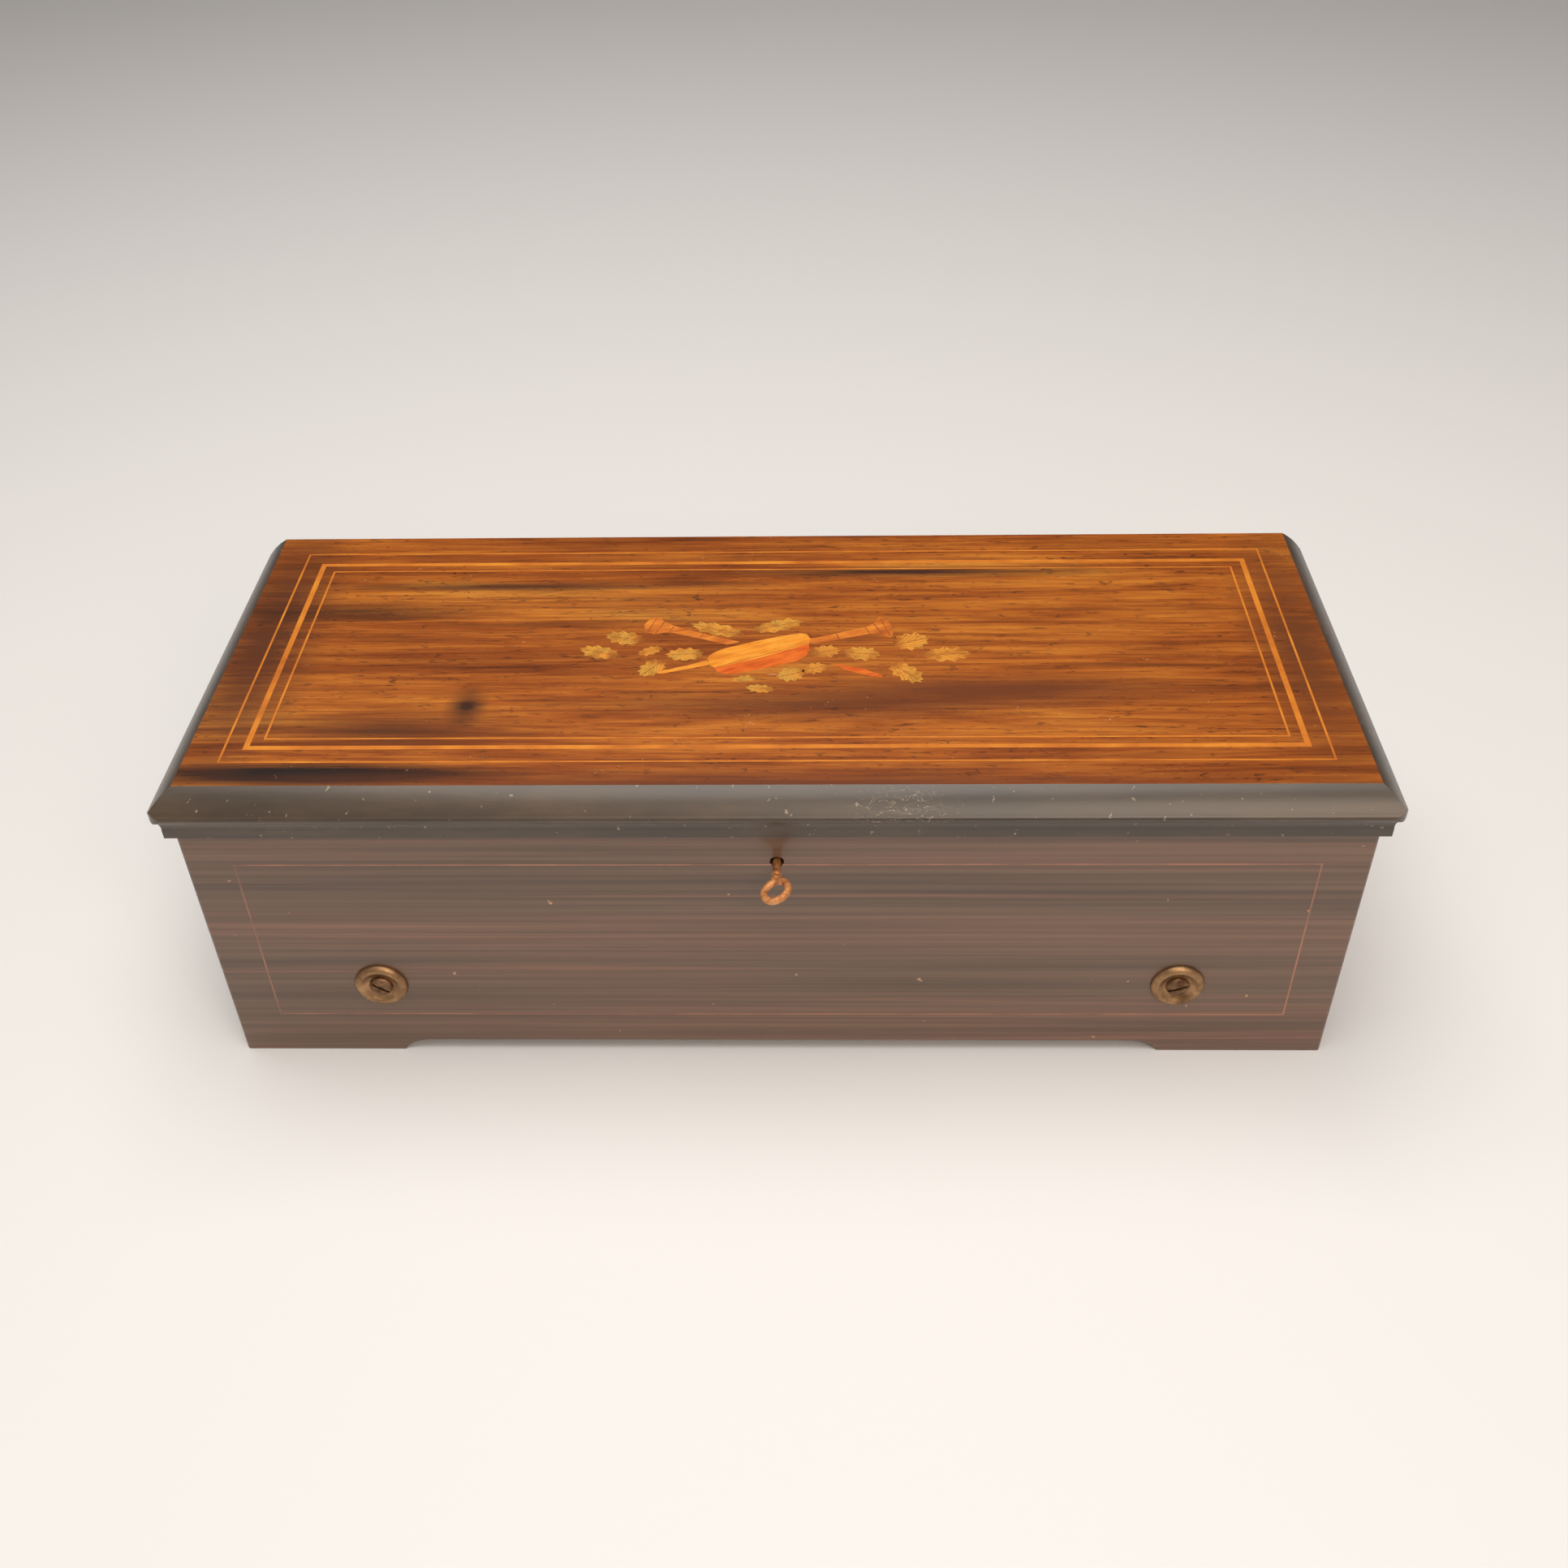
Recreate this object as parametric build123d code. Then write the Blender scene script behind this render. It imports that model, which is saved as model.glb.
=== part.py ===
from build123d import *
from math import atan2, cos, degrees, pi, radians, sin, sqrt
import os

# Lever-wound cylinder music box. Millimetres, +X along the case to the right, the front faces -Y, +Z up.
# The origin is on the surface that the box stands on, under the middle of its overall width and depth.

# Case
case_width = 480.0
case_depth = 187.0
case_height = 129.7
board = 12.0
edge_round = 1.5
base_board = 8.0
apron_rise = 6.5
foot_length = 72.0
apron_ramp = 14.0
end_foot_length = 42.0
base_gap = 1.5

# Lid
lid_gap = 0.3
lid_height = 22.0
veneer = 1.0
panel_inset = 3.3
panel_thickness = 11.0
moulding_reach = 7.0
moulding_width = 14.0
nose_lift = 12.0
nose_radius = 2.4
slope_crown = 0.7
slope_angle = 52.0
fillet_band = 4.0
fillet_reach = 3.0
corner_radius = 7.0

# Line inlay and inlaid group
inlay_depth = 0.6
thick_line = 2.4
thin_line = 0.9
outer_line_inset = (18.0, 16.0)
thick_line_inset = (26.8, 25.2)
inner_line_inset = (33.0, 31.0)
pattern_shift = 2.0
leaf_length = 13.0
leaf_width = 6.0

# Hinges
hinge_length = 50.0
hinge_inset = 85.0
leaf_plate = 1.2
leaf_depth = 11.0
knuckle_radius = 2.6
hinge_pin_radius = 1.2
running_gap = 0.05
end_gap = 0.3

# Lock and key
key_offset = 1.5
key_drop = 15.7
lock_width = 44.0
lock_depth = 8.8
lock_drop = 10.0
lock_wall = 1.2
top_plate_width = 50.0
top_plate = 2.0
keyhole_radius = 3.0
keyhole_slot = 2.2
keyhole_drop = 5.6
bolt_thickness = 1.6
bolt_throw = 5.0
lug_offset = 9.0
lug_thickness = 1.6
lug_width = 5.0
lug_drop = 8.6
link_margin = 2.0
lock_clearance = 0.5
key_radius = 1.7
drill_pin_radius = 0.9
key_shank = 11.0
bow_length = 14.2
bow_lap = 1.2
bow_width = 13.6
bow_thickness = 2.6
bow_rim = 2.9
bow_tilt = 20.0
bit_length = 4.5
bit_thickness = 1.2
bit_width = 3.2

# Partitions and glass lid
partition = 7.0
compartment_width = 37.0
partition_drop = 4.7
glass_frame = 6.0
glass_frame_width = 12.0
glass_drop = 11.7
glass = 2.2
glass_gap = 0.6
glass_lap = 3.0
glass_axis_inset = 6.0
glass_pin_radius = 1.2
glass_pin_length = 4.0
ledge_drop = 6.0
ledge_width = 7.0

# Bedplate and movement screws
movement_room = 70.0
bed_thickness = 8.0
bed_end_gap = 2.0
bed_front_gap = 3.0
bed_back_gap = 11.0
bed_rim = 1.5
bed_rim_width = 4.0
bed_lug_width = 18.0
bed_lug_height = 14.0
bed_lug_lap = 15.0
screw_inset = 68.4
screw_drop = 5.5
screw_radius = 2.5
screw_bite = 14.0
screw_head_radius = 5.0
screw_head = 2.0
screw_slot = 1.2
washer_radius = 11.5
washer_rim = 2.6
washer_floor = 0.8
washer_roll = 2.4

# Cylinder and its arbor
arbor_back = 100.0
arbor_lift = 32.0
arbor_radius = 3.0
pivot_radius = 2.0
drum_radius = 26.5
drum_wall = 2.5
drum_left_gap = 16.0
drum_right_gap = 6.5
drum_cap = 3.0
post_width = 16.0
right_post_width = 12.0
post_foot = 0.85
post_thickness = 6.0
left_post_gap = 12.0
right_post_gap = 4.0
great_wheel_thickness = 3.0
drive_wheel_gap = 0.5
drive_wheel_thickness = 5.0

# Pins and comb
tooth_pitch = 3.0
tooth_slit = 0.5
comb_end_gap = 2.0
pin_height = 1.2
pin_side = 0.5
pins_per_tooth = 1
tip_gap = 0.3
comb_thickness = 2.5
comb_land = 18.0
bass_tooth = 34.0
treble_tooth = 20.0
comb_base_inset = 2.0
comb_base_depth = 16.0
comb_base_slope = 8.0
comb_screws = 6
comb_screw_radius = 3.0
comb_screw_head = 1.8

# Tune change
tune_count = 8
tune_step = 0.3
snail_orbit = 16.0
snail_radius = 9.0
snail_base = 1.2
star_radius = 10.4
star_notch = 7.4
star_thickness = 1.0
snail_stud_radius = 1.5
follower_orbit = 7.0
follower_radius = 1.0
follower_gap = 0.3

# Spring barrel and winding
barrel_lift = 35.0
barrel_radius = 28.0
barrel_length = 41.5
barrel_end_gap = 2.0
barrel_rim = 1.2
barrel_arbor_radius = 3.5
barrel_post_thickness = 5.0
barrel_post_inset = 4.0
barrel_post_gap = 1.0
ratchet_radius = 12.0
ratchet_root = 10.0
ratchet_teeth = 20
ratchet_gap = 1.0
ratchet_thickness = 3.0
lever_cup_inset = 14.0
lever_cup_width = 12.0
lever_cup_radius = 15.0
lever_thickness = 5.0
lever_length = 64.0
lever_root_width = 13.0
lever_tip_width = 8.0
lever_rest = -15.0
grip_length = 44.0
grip_radius = 7.0
grip_neck_share = 0.6
tang_radius = 2.0
tang_short = 6.0
click_length = 22.0
click_width = 5.0
click_pin_radius = 1.0
click_foot_width = 8.0

# Gear train: addendum and dedendum in modules, half widths of a tooth in pitches
addendum = 0.75
dedendum = 1.05
tooth_tip_share = 0.12
tooth_root_share = 0.29
module_barrel = 1.05
module_great = 0.95
module_first = 0.75
module_second = 0.62
barrel_teeth = 60
drive_teeth = 20
great_teeth = 60
first_pinion_teeth = 10
first_wheel_teeth = 48
second_pinion_teeth = 8
second_wheel_teeth = 40

# Governor
cage_inset = 15.0
cage_span = 39.0
cheek = 3.0
cage_foot = 3.0
cheek_height = 60.0
cheek_top_width = 12.0
cheek_shoulder = 6.0
cage_front = 90.0
cage_back = 146.0
second_drop = 12.0
second_wheel_inset = 16.0
first_wheel_gap = 2.5
wheel_thickness = 2.0
arbor_pivot_radius = 0.8
arbor_body_radius = 1.6
worm_radius = 2.5
worm_turns = 2.5
worm_shaft_radius = 1.9
fan_lift = 39.0
fan_height = 14.0
fan_reach = 12.0
fan_thickness = 0.6
fan_boss_radius = 2.4
cock_thickness = 3.0
cock_width = 11.0

# Control levers
stop_pivot_place = (20.0, 40.0)
change_pivot_place = (12.0, 62.0)
control_lift = 10.0
change_lift = 6.0
control_thickness = 3.0
control_width = 8.0
finger_room = 18.0
knob_lift = 48.0
knob_radius = 5.5
control_boss = 5.0
control_pin_radius = 2.0
stud_head = 2.0
control_swing = 12.0
slot_margin = 2.0

# Bars up to this radius are drawn with few sides
slender = 5.6
few_sides = 12
fewest_sides = 8
slimmest = 1.8
washer_sides = 24

# Tune card
card_size = (150.0, 92.0)
card_thickness = 0.5

# Places that follow from the sizes above
key_reach = key_shank + bow_length - bow_lap
hinge_reach = 2 * knuckle_radius
front = key_reach - (case_depth + key_reach + hinge_reach) / 2
back = front + case_depth
half = case_width / 2
inner_front = front + board
inner_back = back - board
inner_half = half - board
base_bottom = apron_rise + base_gap
base_top = base_bottom + base_board
lid_bottom = case_height + lid_gap
lid_top = lid_bottom + lid_height
nose_height = lid_bottom + nose_lift
panel_top = lid_top - veneer
panel_bottom = panel_top - panel_thickness
hinge_y = back + knuckle_radius
hinge_z = case_height + lid_gap / 2
pattern_y = (front + back) / 2 + pattern_shift
hinge_spread = half - hinge_inset
key_height = case_height - key_drop
partition_inside = inner_half - compartment_width - partition
partition_top = case_height - partition_drop
glass_frame_bottom = case_height - glass_drop
bed_top = glass_frame_bottom - movement_room
bed_front = inner_front + bed_front_gap
bed_back = inner_back - bed_back_gap
bed_half = partition_inside - bed_end_gap
screw_spread = half - screw_inset
screw_height = bed_top - screw_drop
key_x = key_offset
arbor_y = front + arbor_back
arbor_height = bed_top + arbor_lift
barrel_height = bed_top + barrel_lift
barrel_to_drive = module_barrel * (barrel_teeth + drive_teeth) / 2
barrel_y = arbor_y - sqrt(barrel_to_drive**2 - (barrel_height - arbor_height) ** 2)
barrel_left_post = -partition_inside + barrel_post_inset
holding_ratchet_left = barrel_left_post + barrel_post_thickness + ratchet_gap
barrel_left = holding_ratchet_left + ratchet_thickness + barrel_end_gap
barrel_right = barrel_left + barrel_length
drive_wheel_left = barrel_right + drive_wheel_gap
left_post = drive_wheel_left - left_post_gap
barrel_right_post = drive_wheel_left + drive_wheel_thickness + barrel_post_gap
lever_cup_left = -inner_half + lever_cup_inset
cage_right = partition_inside - cage_inset
cage_left = cage_right - cage_span
right_post = cage_left + 1
great_wheel_left = right_post - right_post_gap - great_wheel_thickness
drum_left = barrel_right_post + barrel_post_thickness + drum_left_gap
drum_right = great_wheel_left - drum_right_gap
comb_left = drum_left + comb_end_gap
tooth_count = int((drum_right - comb_end_gap - comb_left) / tooth_pitch) - 1
comb_right = comb_left + (tooth_count + 1) * tooth_pitch
pin_tip_radius = drum_radius + pin_height
comb_tip = arbor_y - pin_tip_radius - tip_gap
comb_y = comb_tip - bass_tooth - comb_land
comb_base_y = comb_y + comb_base_inset
bed_bottom = bed_top - bed_thickness
first_y = arbor_y + module_great * (great_teeth + first_pinion_teeth) / 2
first_z = arbor_height
first_to_second = module_first * (first_wheel_teeth + second_pinion_teeth) / 2
second_z = first_z - second_drop
second_y = first_y - sqrt(first_to_second**2 - second_drop**2)
second_radius = module_second * second_wheel_teeth / 2
second_wheel_x = cage_right - second_wheel_inset
worm_x = second_wheel_x + wheel_thickness / 2
cheek_top = bed_top + cheek_height
fan_bottom = bed_top + fan_lift
worm_y = second_y - second_radius - worm_radius
snail_x = great_wheel_left - star_thickness
stop_pivot = (partition_inside - stop_pivot_place[0], front + stop_pivot_place[1])
change_pivot = (partition_inside - change_pivot_place[0], front + change_pivot_place[1])
control_height = bed_top + control_lift
control_knob = bed_top + knob_lift
control_reach = inner_half - finger_room
click_y = barrel_y + ratchet_radius + click_width
click_z = barrel_height - click_length + 3

os.makedirs("parts", exist_ok=True)


def save(shape, node):
    shape.label = node
    export_step(shape, f"parts/{node}.step")


def block(x0, x1, y0, y1, z0, z1):
    return Pos((x0 + x1) / 2, (y0 + y1) / 2, (z0 + z1) / 2) * Box(x1 - x0, y1 - y0, z1 - z0)


def outline(points):
    return make_face(Polyline(*points, close=True))


def plate_x(points, x0, x1):
    return Pos(x0, 0, 0) * extrude(Plane.YZ * outline(points), x1 - x0)


def plate_y(points, y0, y1):
    return Pos(0, y1, 0) * extrude(Plane.XZ * outline(points), y1 - y0)


def plate_z(points, z0, z1):
    return Pos(0, 0, z0) * extrude(outline(points), z1 - z0)


def bar(radius, length, hollow=False):
    """Round bar on +Z. A slender one is a prism of few sides, and a slender bore one that clears its bar."""
    if radius > slender:
        return Pos(0, 0, length / 2) * Cylinder(radius, length)
    sides = few_sides if radius > slimmest else fewest_sides
    reach = radius / cos(pi / sides) if hollow else radius
    return extrude(RegularPolygon(reach, sides), length)


def rod_x(radius, x0, x1, y, z, hollow=False):
    return Pos(x0, y, z) * Rot(0, 90, 0) * bar(radius, x1 - x0, hollow)


def rod_y(radius, y0, y1, x, z, hollow=False):
    return Pos(x, y1, z) * Rot(90, 0, 0) * bar(radius, y1 - y0, hollow)


def rod_z(radius, z0, z1, x, y, hollow=False):
    return Pos(x, y, z0) * bar(radius, z1 - z0, hollow)


def bore_x(radius, x0, x1, y, z):
    return rod_x(radius, x0, x1, y, z, True)


def bore_y(radius, y0, y1, x, z):
    return rod_y(radius, y0, y1, x, z, True)


def bore_z(radius, z0, z1, x, y):
    return rod_z(radius, z0, z1, x, y, True)


def group(shapes):
    return Compound(children=list(shapes))


def polar(radius, angle):
    return (radius * cos(radians(angle)), radius * sin(radians(angle)))


# Case boards


def apron_cut(length, foot):
    """Profile of the cut-out between two feet, about the middle of a board of this length."""
    reach = length / 2 - foot
    low = -1.0
    ramp = Spline(
        (reach, 0),
        (reach - apron_ramp, apron_rise),
        tangents=((-0.5, 1), (-1, 0)),
    )
    ramp_left = Spline(
        (-reach + apron_ramp, apron_rise),
        (-reach, 0),
        tangents=((-1, 0), (-0.5, -1)),
    )
    top = Line(ramp @ 1, ramp_left @ 0)
    floor = Polyline(ramp_left @ 1, (-reach, low), (reach, low), ramp @ 0)
    return make_face(Wire([ramp, top, ramp_left] + floor.edges()))


def upright_edges(shape, y):
    return [e for e in shape.edges().filter_by(Axis.Z) if abs(e.center().Y - y) < edge_round / 2]


def screw_holes(y0, y1):
    holes = [bore_y(screw_radius + running_gap, y0, y1, side * screw_spread, screw_height) for side in (-1, 1)]
    return holes[0] + holes[1]


def hinge_pockets(depth_below):
    pockets = []
    for side in (-1, 1):
        x0 = side * hinge_spread - hinge_length / 2
        pockets.append(
            block(x0, x0 + hinge_length, back - leaf_depth, back + 1, case_height - depth_below, case_height + 1)
        )
    return pockets


def keyhole(y0, y1):
    slot = block(
        key_x - keyhole_slot / 2, key_x + keyhole_slot / 2, y0, y1, key_height - keyhole_drop, key_height
    )
    return rod_y(keyhole_radius, y0, y1, key_x, key_height) + slot


def lock_pocket():
    pocket = block(
        key_x - lock_width / 2,
        key_x + lock_width / 2,
        inner_front - lock_depth,
        inner_front + 1,
        key_height - lock_drop,
        case_height + 1,
    )
    plate = block(
        key_x - top_plate_width / 2,
        key_x + top_plate_width / 2,
        inner_front - lock_depth,
        inner_front + 1,
        case_height - top_plate,
        case_height + 1,
    )
    return pocket + plate


def front_board():
    body = block(-half, half, front, inner_front, 0, case_height)
    body = fillet(upright_edges(body, front), edge_round)
    body -= Pos(0, inner_front, 0) * extrude(Plane.XZ * apron_cut(case_width, foot_length), board)
    body -= screw_holes(front - 1, inner_front + 1)
    body -= lock_pocket()
    body -= keyhole(front - 1, inner_front)
    return body


def back_board():
    body = block(-half, half, inner_back, back, 0, case_height)
    body = fillet(upright_edges(body, back), edge_round)
    body -= Pos(0, back, 0) * extrude(Plane.XZ * apron_cut(case_width, foot_length), board)
    body -= screw_holes(inner_back - 1, back + 1)
    for pocket in hinge_pockets(leaf_plate):
        body -= pocket
    return body


def end_board(side):
    outer = side * half
    inner = side * inner_half
    x0 = min(outer, inner)
    body = block(x0, x0 + board, inner_front, inner_back, 0, case_height)
    cut = Plane.YZ * (Pos((front + back) / 2, 0) * apron_cut(case_depth, end_foot_length))
    body -= Pos(x0, 0, 0) * extrude(cut, board)
    return body


save(front_board(), "case_front")
save(back_board(), "case_back")
save(end_board(-1), "case_left_end")
save(end_board(1), "case_right_end")
save(block(-inner_half, inner_half, inner_front, inner_back, base_bottom, base_top), "base_board")


# Partitions, with the holes and slots that the arbor, the levers and the glass lid's pins pass through


def partition_wall(side):
    inside = side * partition_inside
    x0 = min(inside, inside + side * partition)
    wall = block(x0, x0 + partition, inner_front, inner_back, base_top, partition_top)
    pin_y = inner_back - glass_axis_inset
    pin_z = glass_frame_bottom + glass_frame / 2
    pin_reach = glass_pin_length - glass_gap + end_gap
    wall -= bore_x(
        glass_pin_radius + running_gap,
        min(inside, inside + side * pin_reach),
        max(inside, inside + side * pin_reach),
        pin_y,
        pin_z,
    )
    return wall


def lever_slot(pivot, lift):
    """Slot that clears one control lever over its whole swing."""
    wall_reach = partition_inside + partition - pivot[0]
    swing = wall_reach * sin(radians(control_swing))
    middle = pivot[1]
    return block(
        partition_inside - 1,
        partition_inside + partition + 1,
        middle - control_width / 2 - slot_margin,
        middle + control_width / 2 + slot_margin + swing,
        control_height + lift - slot_margin / 2,
        control_height + lift + control_thickness + slot_margin / 2,
    )


left_partition = partition_wall(-1)
left_partition -= bore_x(
    barrel_arbor_radius + lock_clearance,
    -partition_inside - partition - 1,
    -partition_inside + 1,
    barrel_y,
    barrel_height,
)
right_partition = partition_wall(1)
right_partition -= lever_slot(stop_pivot, 0)
right_partition -= lever_slot(change_pivot, change_lift)
save(left_partition, "lever_partition")
save(right_partition, "control_partition")


# Glass lid: a rebated frame with two steel pins at its back corners, and the pane in its groove


def glass_lid_frame():
    outer_half = partition_inside - glass_gap
    y0 = inner_front + glass_gap
    y1 = inner_back - 2 * glass_gap
    z0 = glass_frame_bottom
    z1 = z0 + glass_frame
    frame = block(-outer_half, outer_half, y0, y1, z0, z1)
    frame -= block(
        -outer_half + glass_frame_width,
        outer_half - glass_frame_width,
        y0 + glass_frame_width,
        y1 - glass_frame_width,
        z0 - 1,
        z1 + 1,
    )
    groove = glass_frame_width - glass_lap
    middle = (z0 + z1) / 2
    frame -= block(
        -outer_half + groove,
        outer_half - groove,
        y0 + groove,
        y1 - groove,
        middle - glass / 2,
        middle + glass / 2,
    )
    for side in (-1, 1):
        near = side * (outer_half - 1)
        far = side * (outer_half + glass_pin_length)
        frame += rod_x(glass_pin_radius, min(near, far), max(near, far), inner_back - glass_axis_inset, middle)
    pane = block(
        -outer_half + groove,
        outer_half - groove,
        y0 + groove,
        y1 - groove,
        middle - glass / 2,
        middle + glass / 2,
    )
    return frame, pane


frame, pane = glass_lid_frame()
save(frame, "glass_lid_frame")
save(pane, "glass_pane")
ledges = [
    block(
        min(side * (lock_width / 2 + ledge_width), side * (partition_inside)),
        max(side * (lock_width / 2 + ledge_width), side * (partition_inside)),
        inner_front,
        inner_front + ledge_width,
        glass_frame_bottom - end_gap - ledge_drop,
        glass_frame_bottom - end_gap,
    )
    for side in (-1, 1)
]
save(group(ledges), "glass_lid_ledges")


# Lid: core panel, veneer, inlay, mouldings, back rail


def moulding_profile():
    """Section of the moulding: x is the reach out from the case face, y the height."""
    slope_top = (-panel_inset, lid_top)
    nose_centre = (moulding_reach - nose_radius, nose_height)
    slope_foot = (
        nose_centre[0] + nose_radius * cos(radians(slope_angle)),
        nose_centre[1] + nose_radius * sin(radians(slope_angle)),
    )
    slope_middle = (
        (slope_top[0] + slope_foot[0]) / 2 + slope_crown * cos(radians(slope_angle)),
        (slope_top[1] + slope_foot[1]) / 2 + slope_crown * sin(radians(slope_angle)),
    )
    nose_end = (nose_centre[0], nose_centre[1] - nose_radius)
    band_top = (fillet_reach, lid_bottom + fillet_band)
    face = ThreePointArc(slope_top, slope_middle, slope_foot)
    nose = ThreePointArc(slope_foot, (nose_centre[0] + nose_radius, nose_centre[1]), nose_end)
    cove_middle = (fillet_reach + nose_radius / 8, (nose_end[1] + band_top[1]) / 2 + nose_radius / 4)
    cove = ThreePointArc(nose_end, cove_middle, band_top)
    rest = Polyline(
        band_top,
        (fillet_reach, lid_bottom),
        (-moulding_width, lid_bottom),
        (-moulding_width, panel_bottom),
        (-panel_inset, panel_bottom),
        slope_top,
    )
    return make_face(Wire([face, nose, cove] + rest.edges()))


def corner_prism(inset, z0, z1):
    """Plan of the lid at the mouldings' reach, with its two front corners rounded."""
    reach = half + moulding_reach
    y0 = front - moulding_reach
    plan = block(-reach, reach, y0, back, z0, z1)
    corners = [e for e in plan.edges().filter_by(Axis.Z) if e.center().Y < front]
    return fillet(corners, corner_radius - inset)


def mitre(side, keep_front):
    """Half space on one side of the 45 degree joint at a front corner, as a large wedge in plan."""
    reach = case_width + 4 * moulding_width
    corner_x = side * (half + moulding_reach)
    corner_y = front - moulding_reach
    inner_x = corner_x - side * reach
    inner_y = corner_y + reach
    if keep_front:
        plan = [(corner_x, corner_y), (inner_x, inner_y), (inner_x, corner_y)]
    else:
        plan = [(corner_x, corner_y), (inner_x, inner_y), (corner_x, inner_y)]
    return plate_z(plan, lid_bottom - 1, lid_top + 1)


def front_moulding():
    reach = half + moulding_reach
    section = Plane(origin=(reach, front, 0), x_dir=(0, -1, 0), z_dir=(-1, 0, 0)) * moulding_profile()
    bar = extrude(section, 2 * reach)
    bar &= mitre(-1, True)
    bar &= mitre(1, True)
    bar &= corner_prism(0, lid_bottom, lid_top)
    return bar - link_plate_body()


def side_moulding(side):
    start = front - moulding_reach
    plane = Plane(origin=(side * half, start, 0), x_dir=(side, 0, 0), z_dir=(0, -side, 0))
    bar = extrude(plane * moulding_profile(), -side * (back - start))
    bar &= mitre(side, False)
    return bar & corner_prism(0, lid_bottom, lid_top)


def link_plate_body():
    y = inner_front - lock_depth / 2
    reach = (lug_width + link_margin) / 2
    return block(key_x - top_plate_width / 2, key_x + top_plate_width / 2, y - reach, y + reach, lid_bottom,
                 lid_bottom + top_plate)


def frame_line(inset, width, z0, z1):
    x = half - inset[0]
    y = case_depth / 2 - inset[1]
    outer = block(-x - width / 2, x + width / 2, pattern_y - y - width / 2, pattern_y + y + width / 2, z0, z1)
    inner = block(-x + width / 2, x - width / 2, pattern_y - y + width / 2, pattern_y + y - width / 2, z0, z1)
    return outer - inner


def leaf(x, y, turn, size=1.0):
    """Pointed leaf from two arcs."""
    length = leaf_length * size / 2
    width = leaf_width * size / 2
    upper = ThreePointArc((-length, 0), (0, width), (length, 0))
    lower = ThreePointArc((length, 0), (0, -width), (-length, 0))
    return Pos(x, y) * Rot(0, 0, turn) * make_face(Wire([upper, lower]))


def horn(x, y, turn):
    """Straight horn with a flared bell at its far end."""
    top = Spline((-22, 1.0), (6, 2.6), (13, 5.2), tangents=((1, 0.03), (0.6, 0.8)))
    low = Spline((13, -5.2), (6, -2.6), (-22, -1.0), tangents=((-0.6, 0.8), (-1, 0.03)))
    bell = ThreePointArc((13, 5.2), (14.6, 0), (13, -5.2))
    tail = Line((-22, -1.0), (-22, 1.0))
    return Pos(x, y) * Rot(0, 0, turn) * make_face(Wire([top, bell, low, tail]))


def lute(x, y, turn):
    """Round-backed lute: a full body at one end that narrows to a long neck."""
    upper = Spline((22, 0), (14, 7.6), (0, 8.4), (-18, 2.2), tangents=((0, 1), (-1, -0.35)))
    lower = Spline((-18, -2.2), (0, -8.4), (14, -7.6), (22, 0), tangents=((1, -0.35), (0, 1)))
    neck = Polyline((-18, 2.2), (-18, 1.3), (-36, 1.3), (-36, -1.3), (-18, -1.3), (-18, -2.2))
    return Pos(x, y) * Rot(0, 0, turn) * make_face(Wire([upper, lower] + neck.edges()))


def instruments():
    """Faces of the inlaid group about the middle of the lid: a lute across two horns, with leaves."""
    pieces = [lute(-2, -2, 20)]
    leaves = [
        (-76, -6, 10, 1.0), (-54, -14, 35, 0.9), (-25, 16, -15, 1.1),
        (8, -17, -20, 1.1), (58, -14, -30, 0.9), (78, -3, 5, 1.2),
    ]
    pieces += [leaf(*spot) for spot in leaves]
    pieces.append(horn(34, 12, 14))
    pieces.append(horn(-38, 11, 168))
    return [Pos(0, pattern_y) * piece for piece in pieces]


def lay(faces, z0, z1):
    return [Pos(0, 0, z0) * extrude(face, z1 - z0) for face in faces]


panel_half = half - panel_inset
panel_front = front + panel_inset
lid_panel = block(-panel_half, panel_half, panel_front, back, panel_bottom, panel_top)
save(lid_panel, "lid_panel")
inlay_bottom = lid_top - inlay_depth
lines = [
    frame_line(outer_line_inset, thin_line, inlay_bottom, lid_top),
    frame_line(thick_line_inset, thick_line, inlay_bottom, lid_top),
    frame_line(inner_line_inset, thin_line, inlay_bottom, lid_top),
]
motif = lay(instruments(), inlay_bottom, lid_top)
whole_motif = [motif[0]]
for piece in motif[1:]:
    rest = piece - motif[0]
    whole_motif += [solid for solid in rest.solids() if solid.volume > 1]
veneer_sheet = block(-panel_half, panel_half, panel_front, back, panel_top, lid_top)
for line in lines:
    veneer_sheet -= line
veneer_sheet -= whole_motif
save(veneer_sheet, "rosewood_veneer")
save(group(lines), "line_inlay")
save(group(whole_motif), "instrument_inlay")
save(front_moulding(), "front_moulding")
save(side_moulding(-1), "left_moulding")
save(side_moulding(1), "right_moulding")


def back_rail():
    reach = half - moulding_width
    rail = block(-reach, reach, back - moulding_width, back, lid_bottom, panel_bottom)
    for side in (-1, 1):
        x0 = side * hinge_spread - hinge_length / 2
        rail -= block(x0, x0 + hinge_length, back - leaf_depth, back, lid_bottom, lid_bottom + leaf_plate)
    return rail


save(back_rail(), "lid_back_rail")
card_y = (front + back) / 2
tune_card = block(
    -card_size[0] / 2,
    card_size[0] / 2,
    card_y - card_size[1] / 2,
    card_y + card_size[1] / 2,
    panel_bottom - card_thickness,
    panel_bottom,
)
save(tune_card, "tune_card")


# Butt hinges: the case leaf has the two outer knuckles, the lid leaf the middle one


def knuckle(x0, x1):
    barrel = rod_x(knuckle_radius, x0, x1, hinge_y, hinge_z)
    return barrel - bore_x(hinge_pin_radius + running_gap, x0 - 1, x1 + 1, hinge_y, hinge_z)


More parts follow.
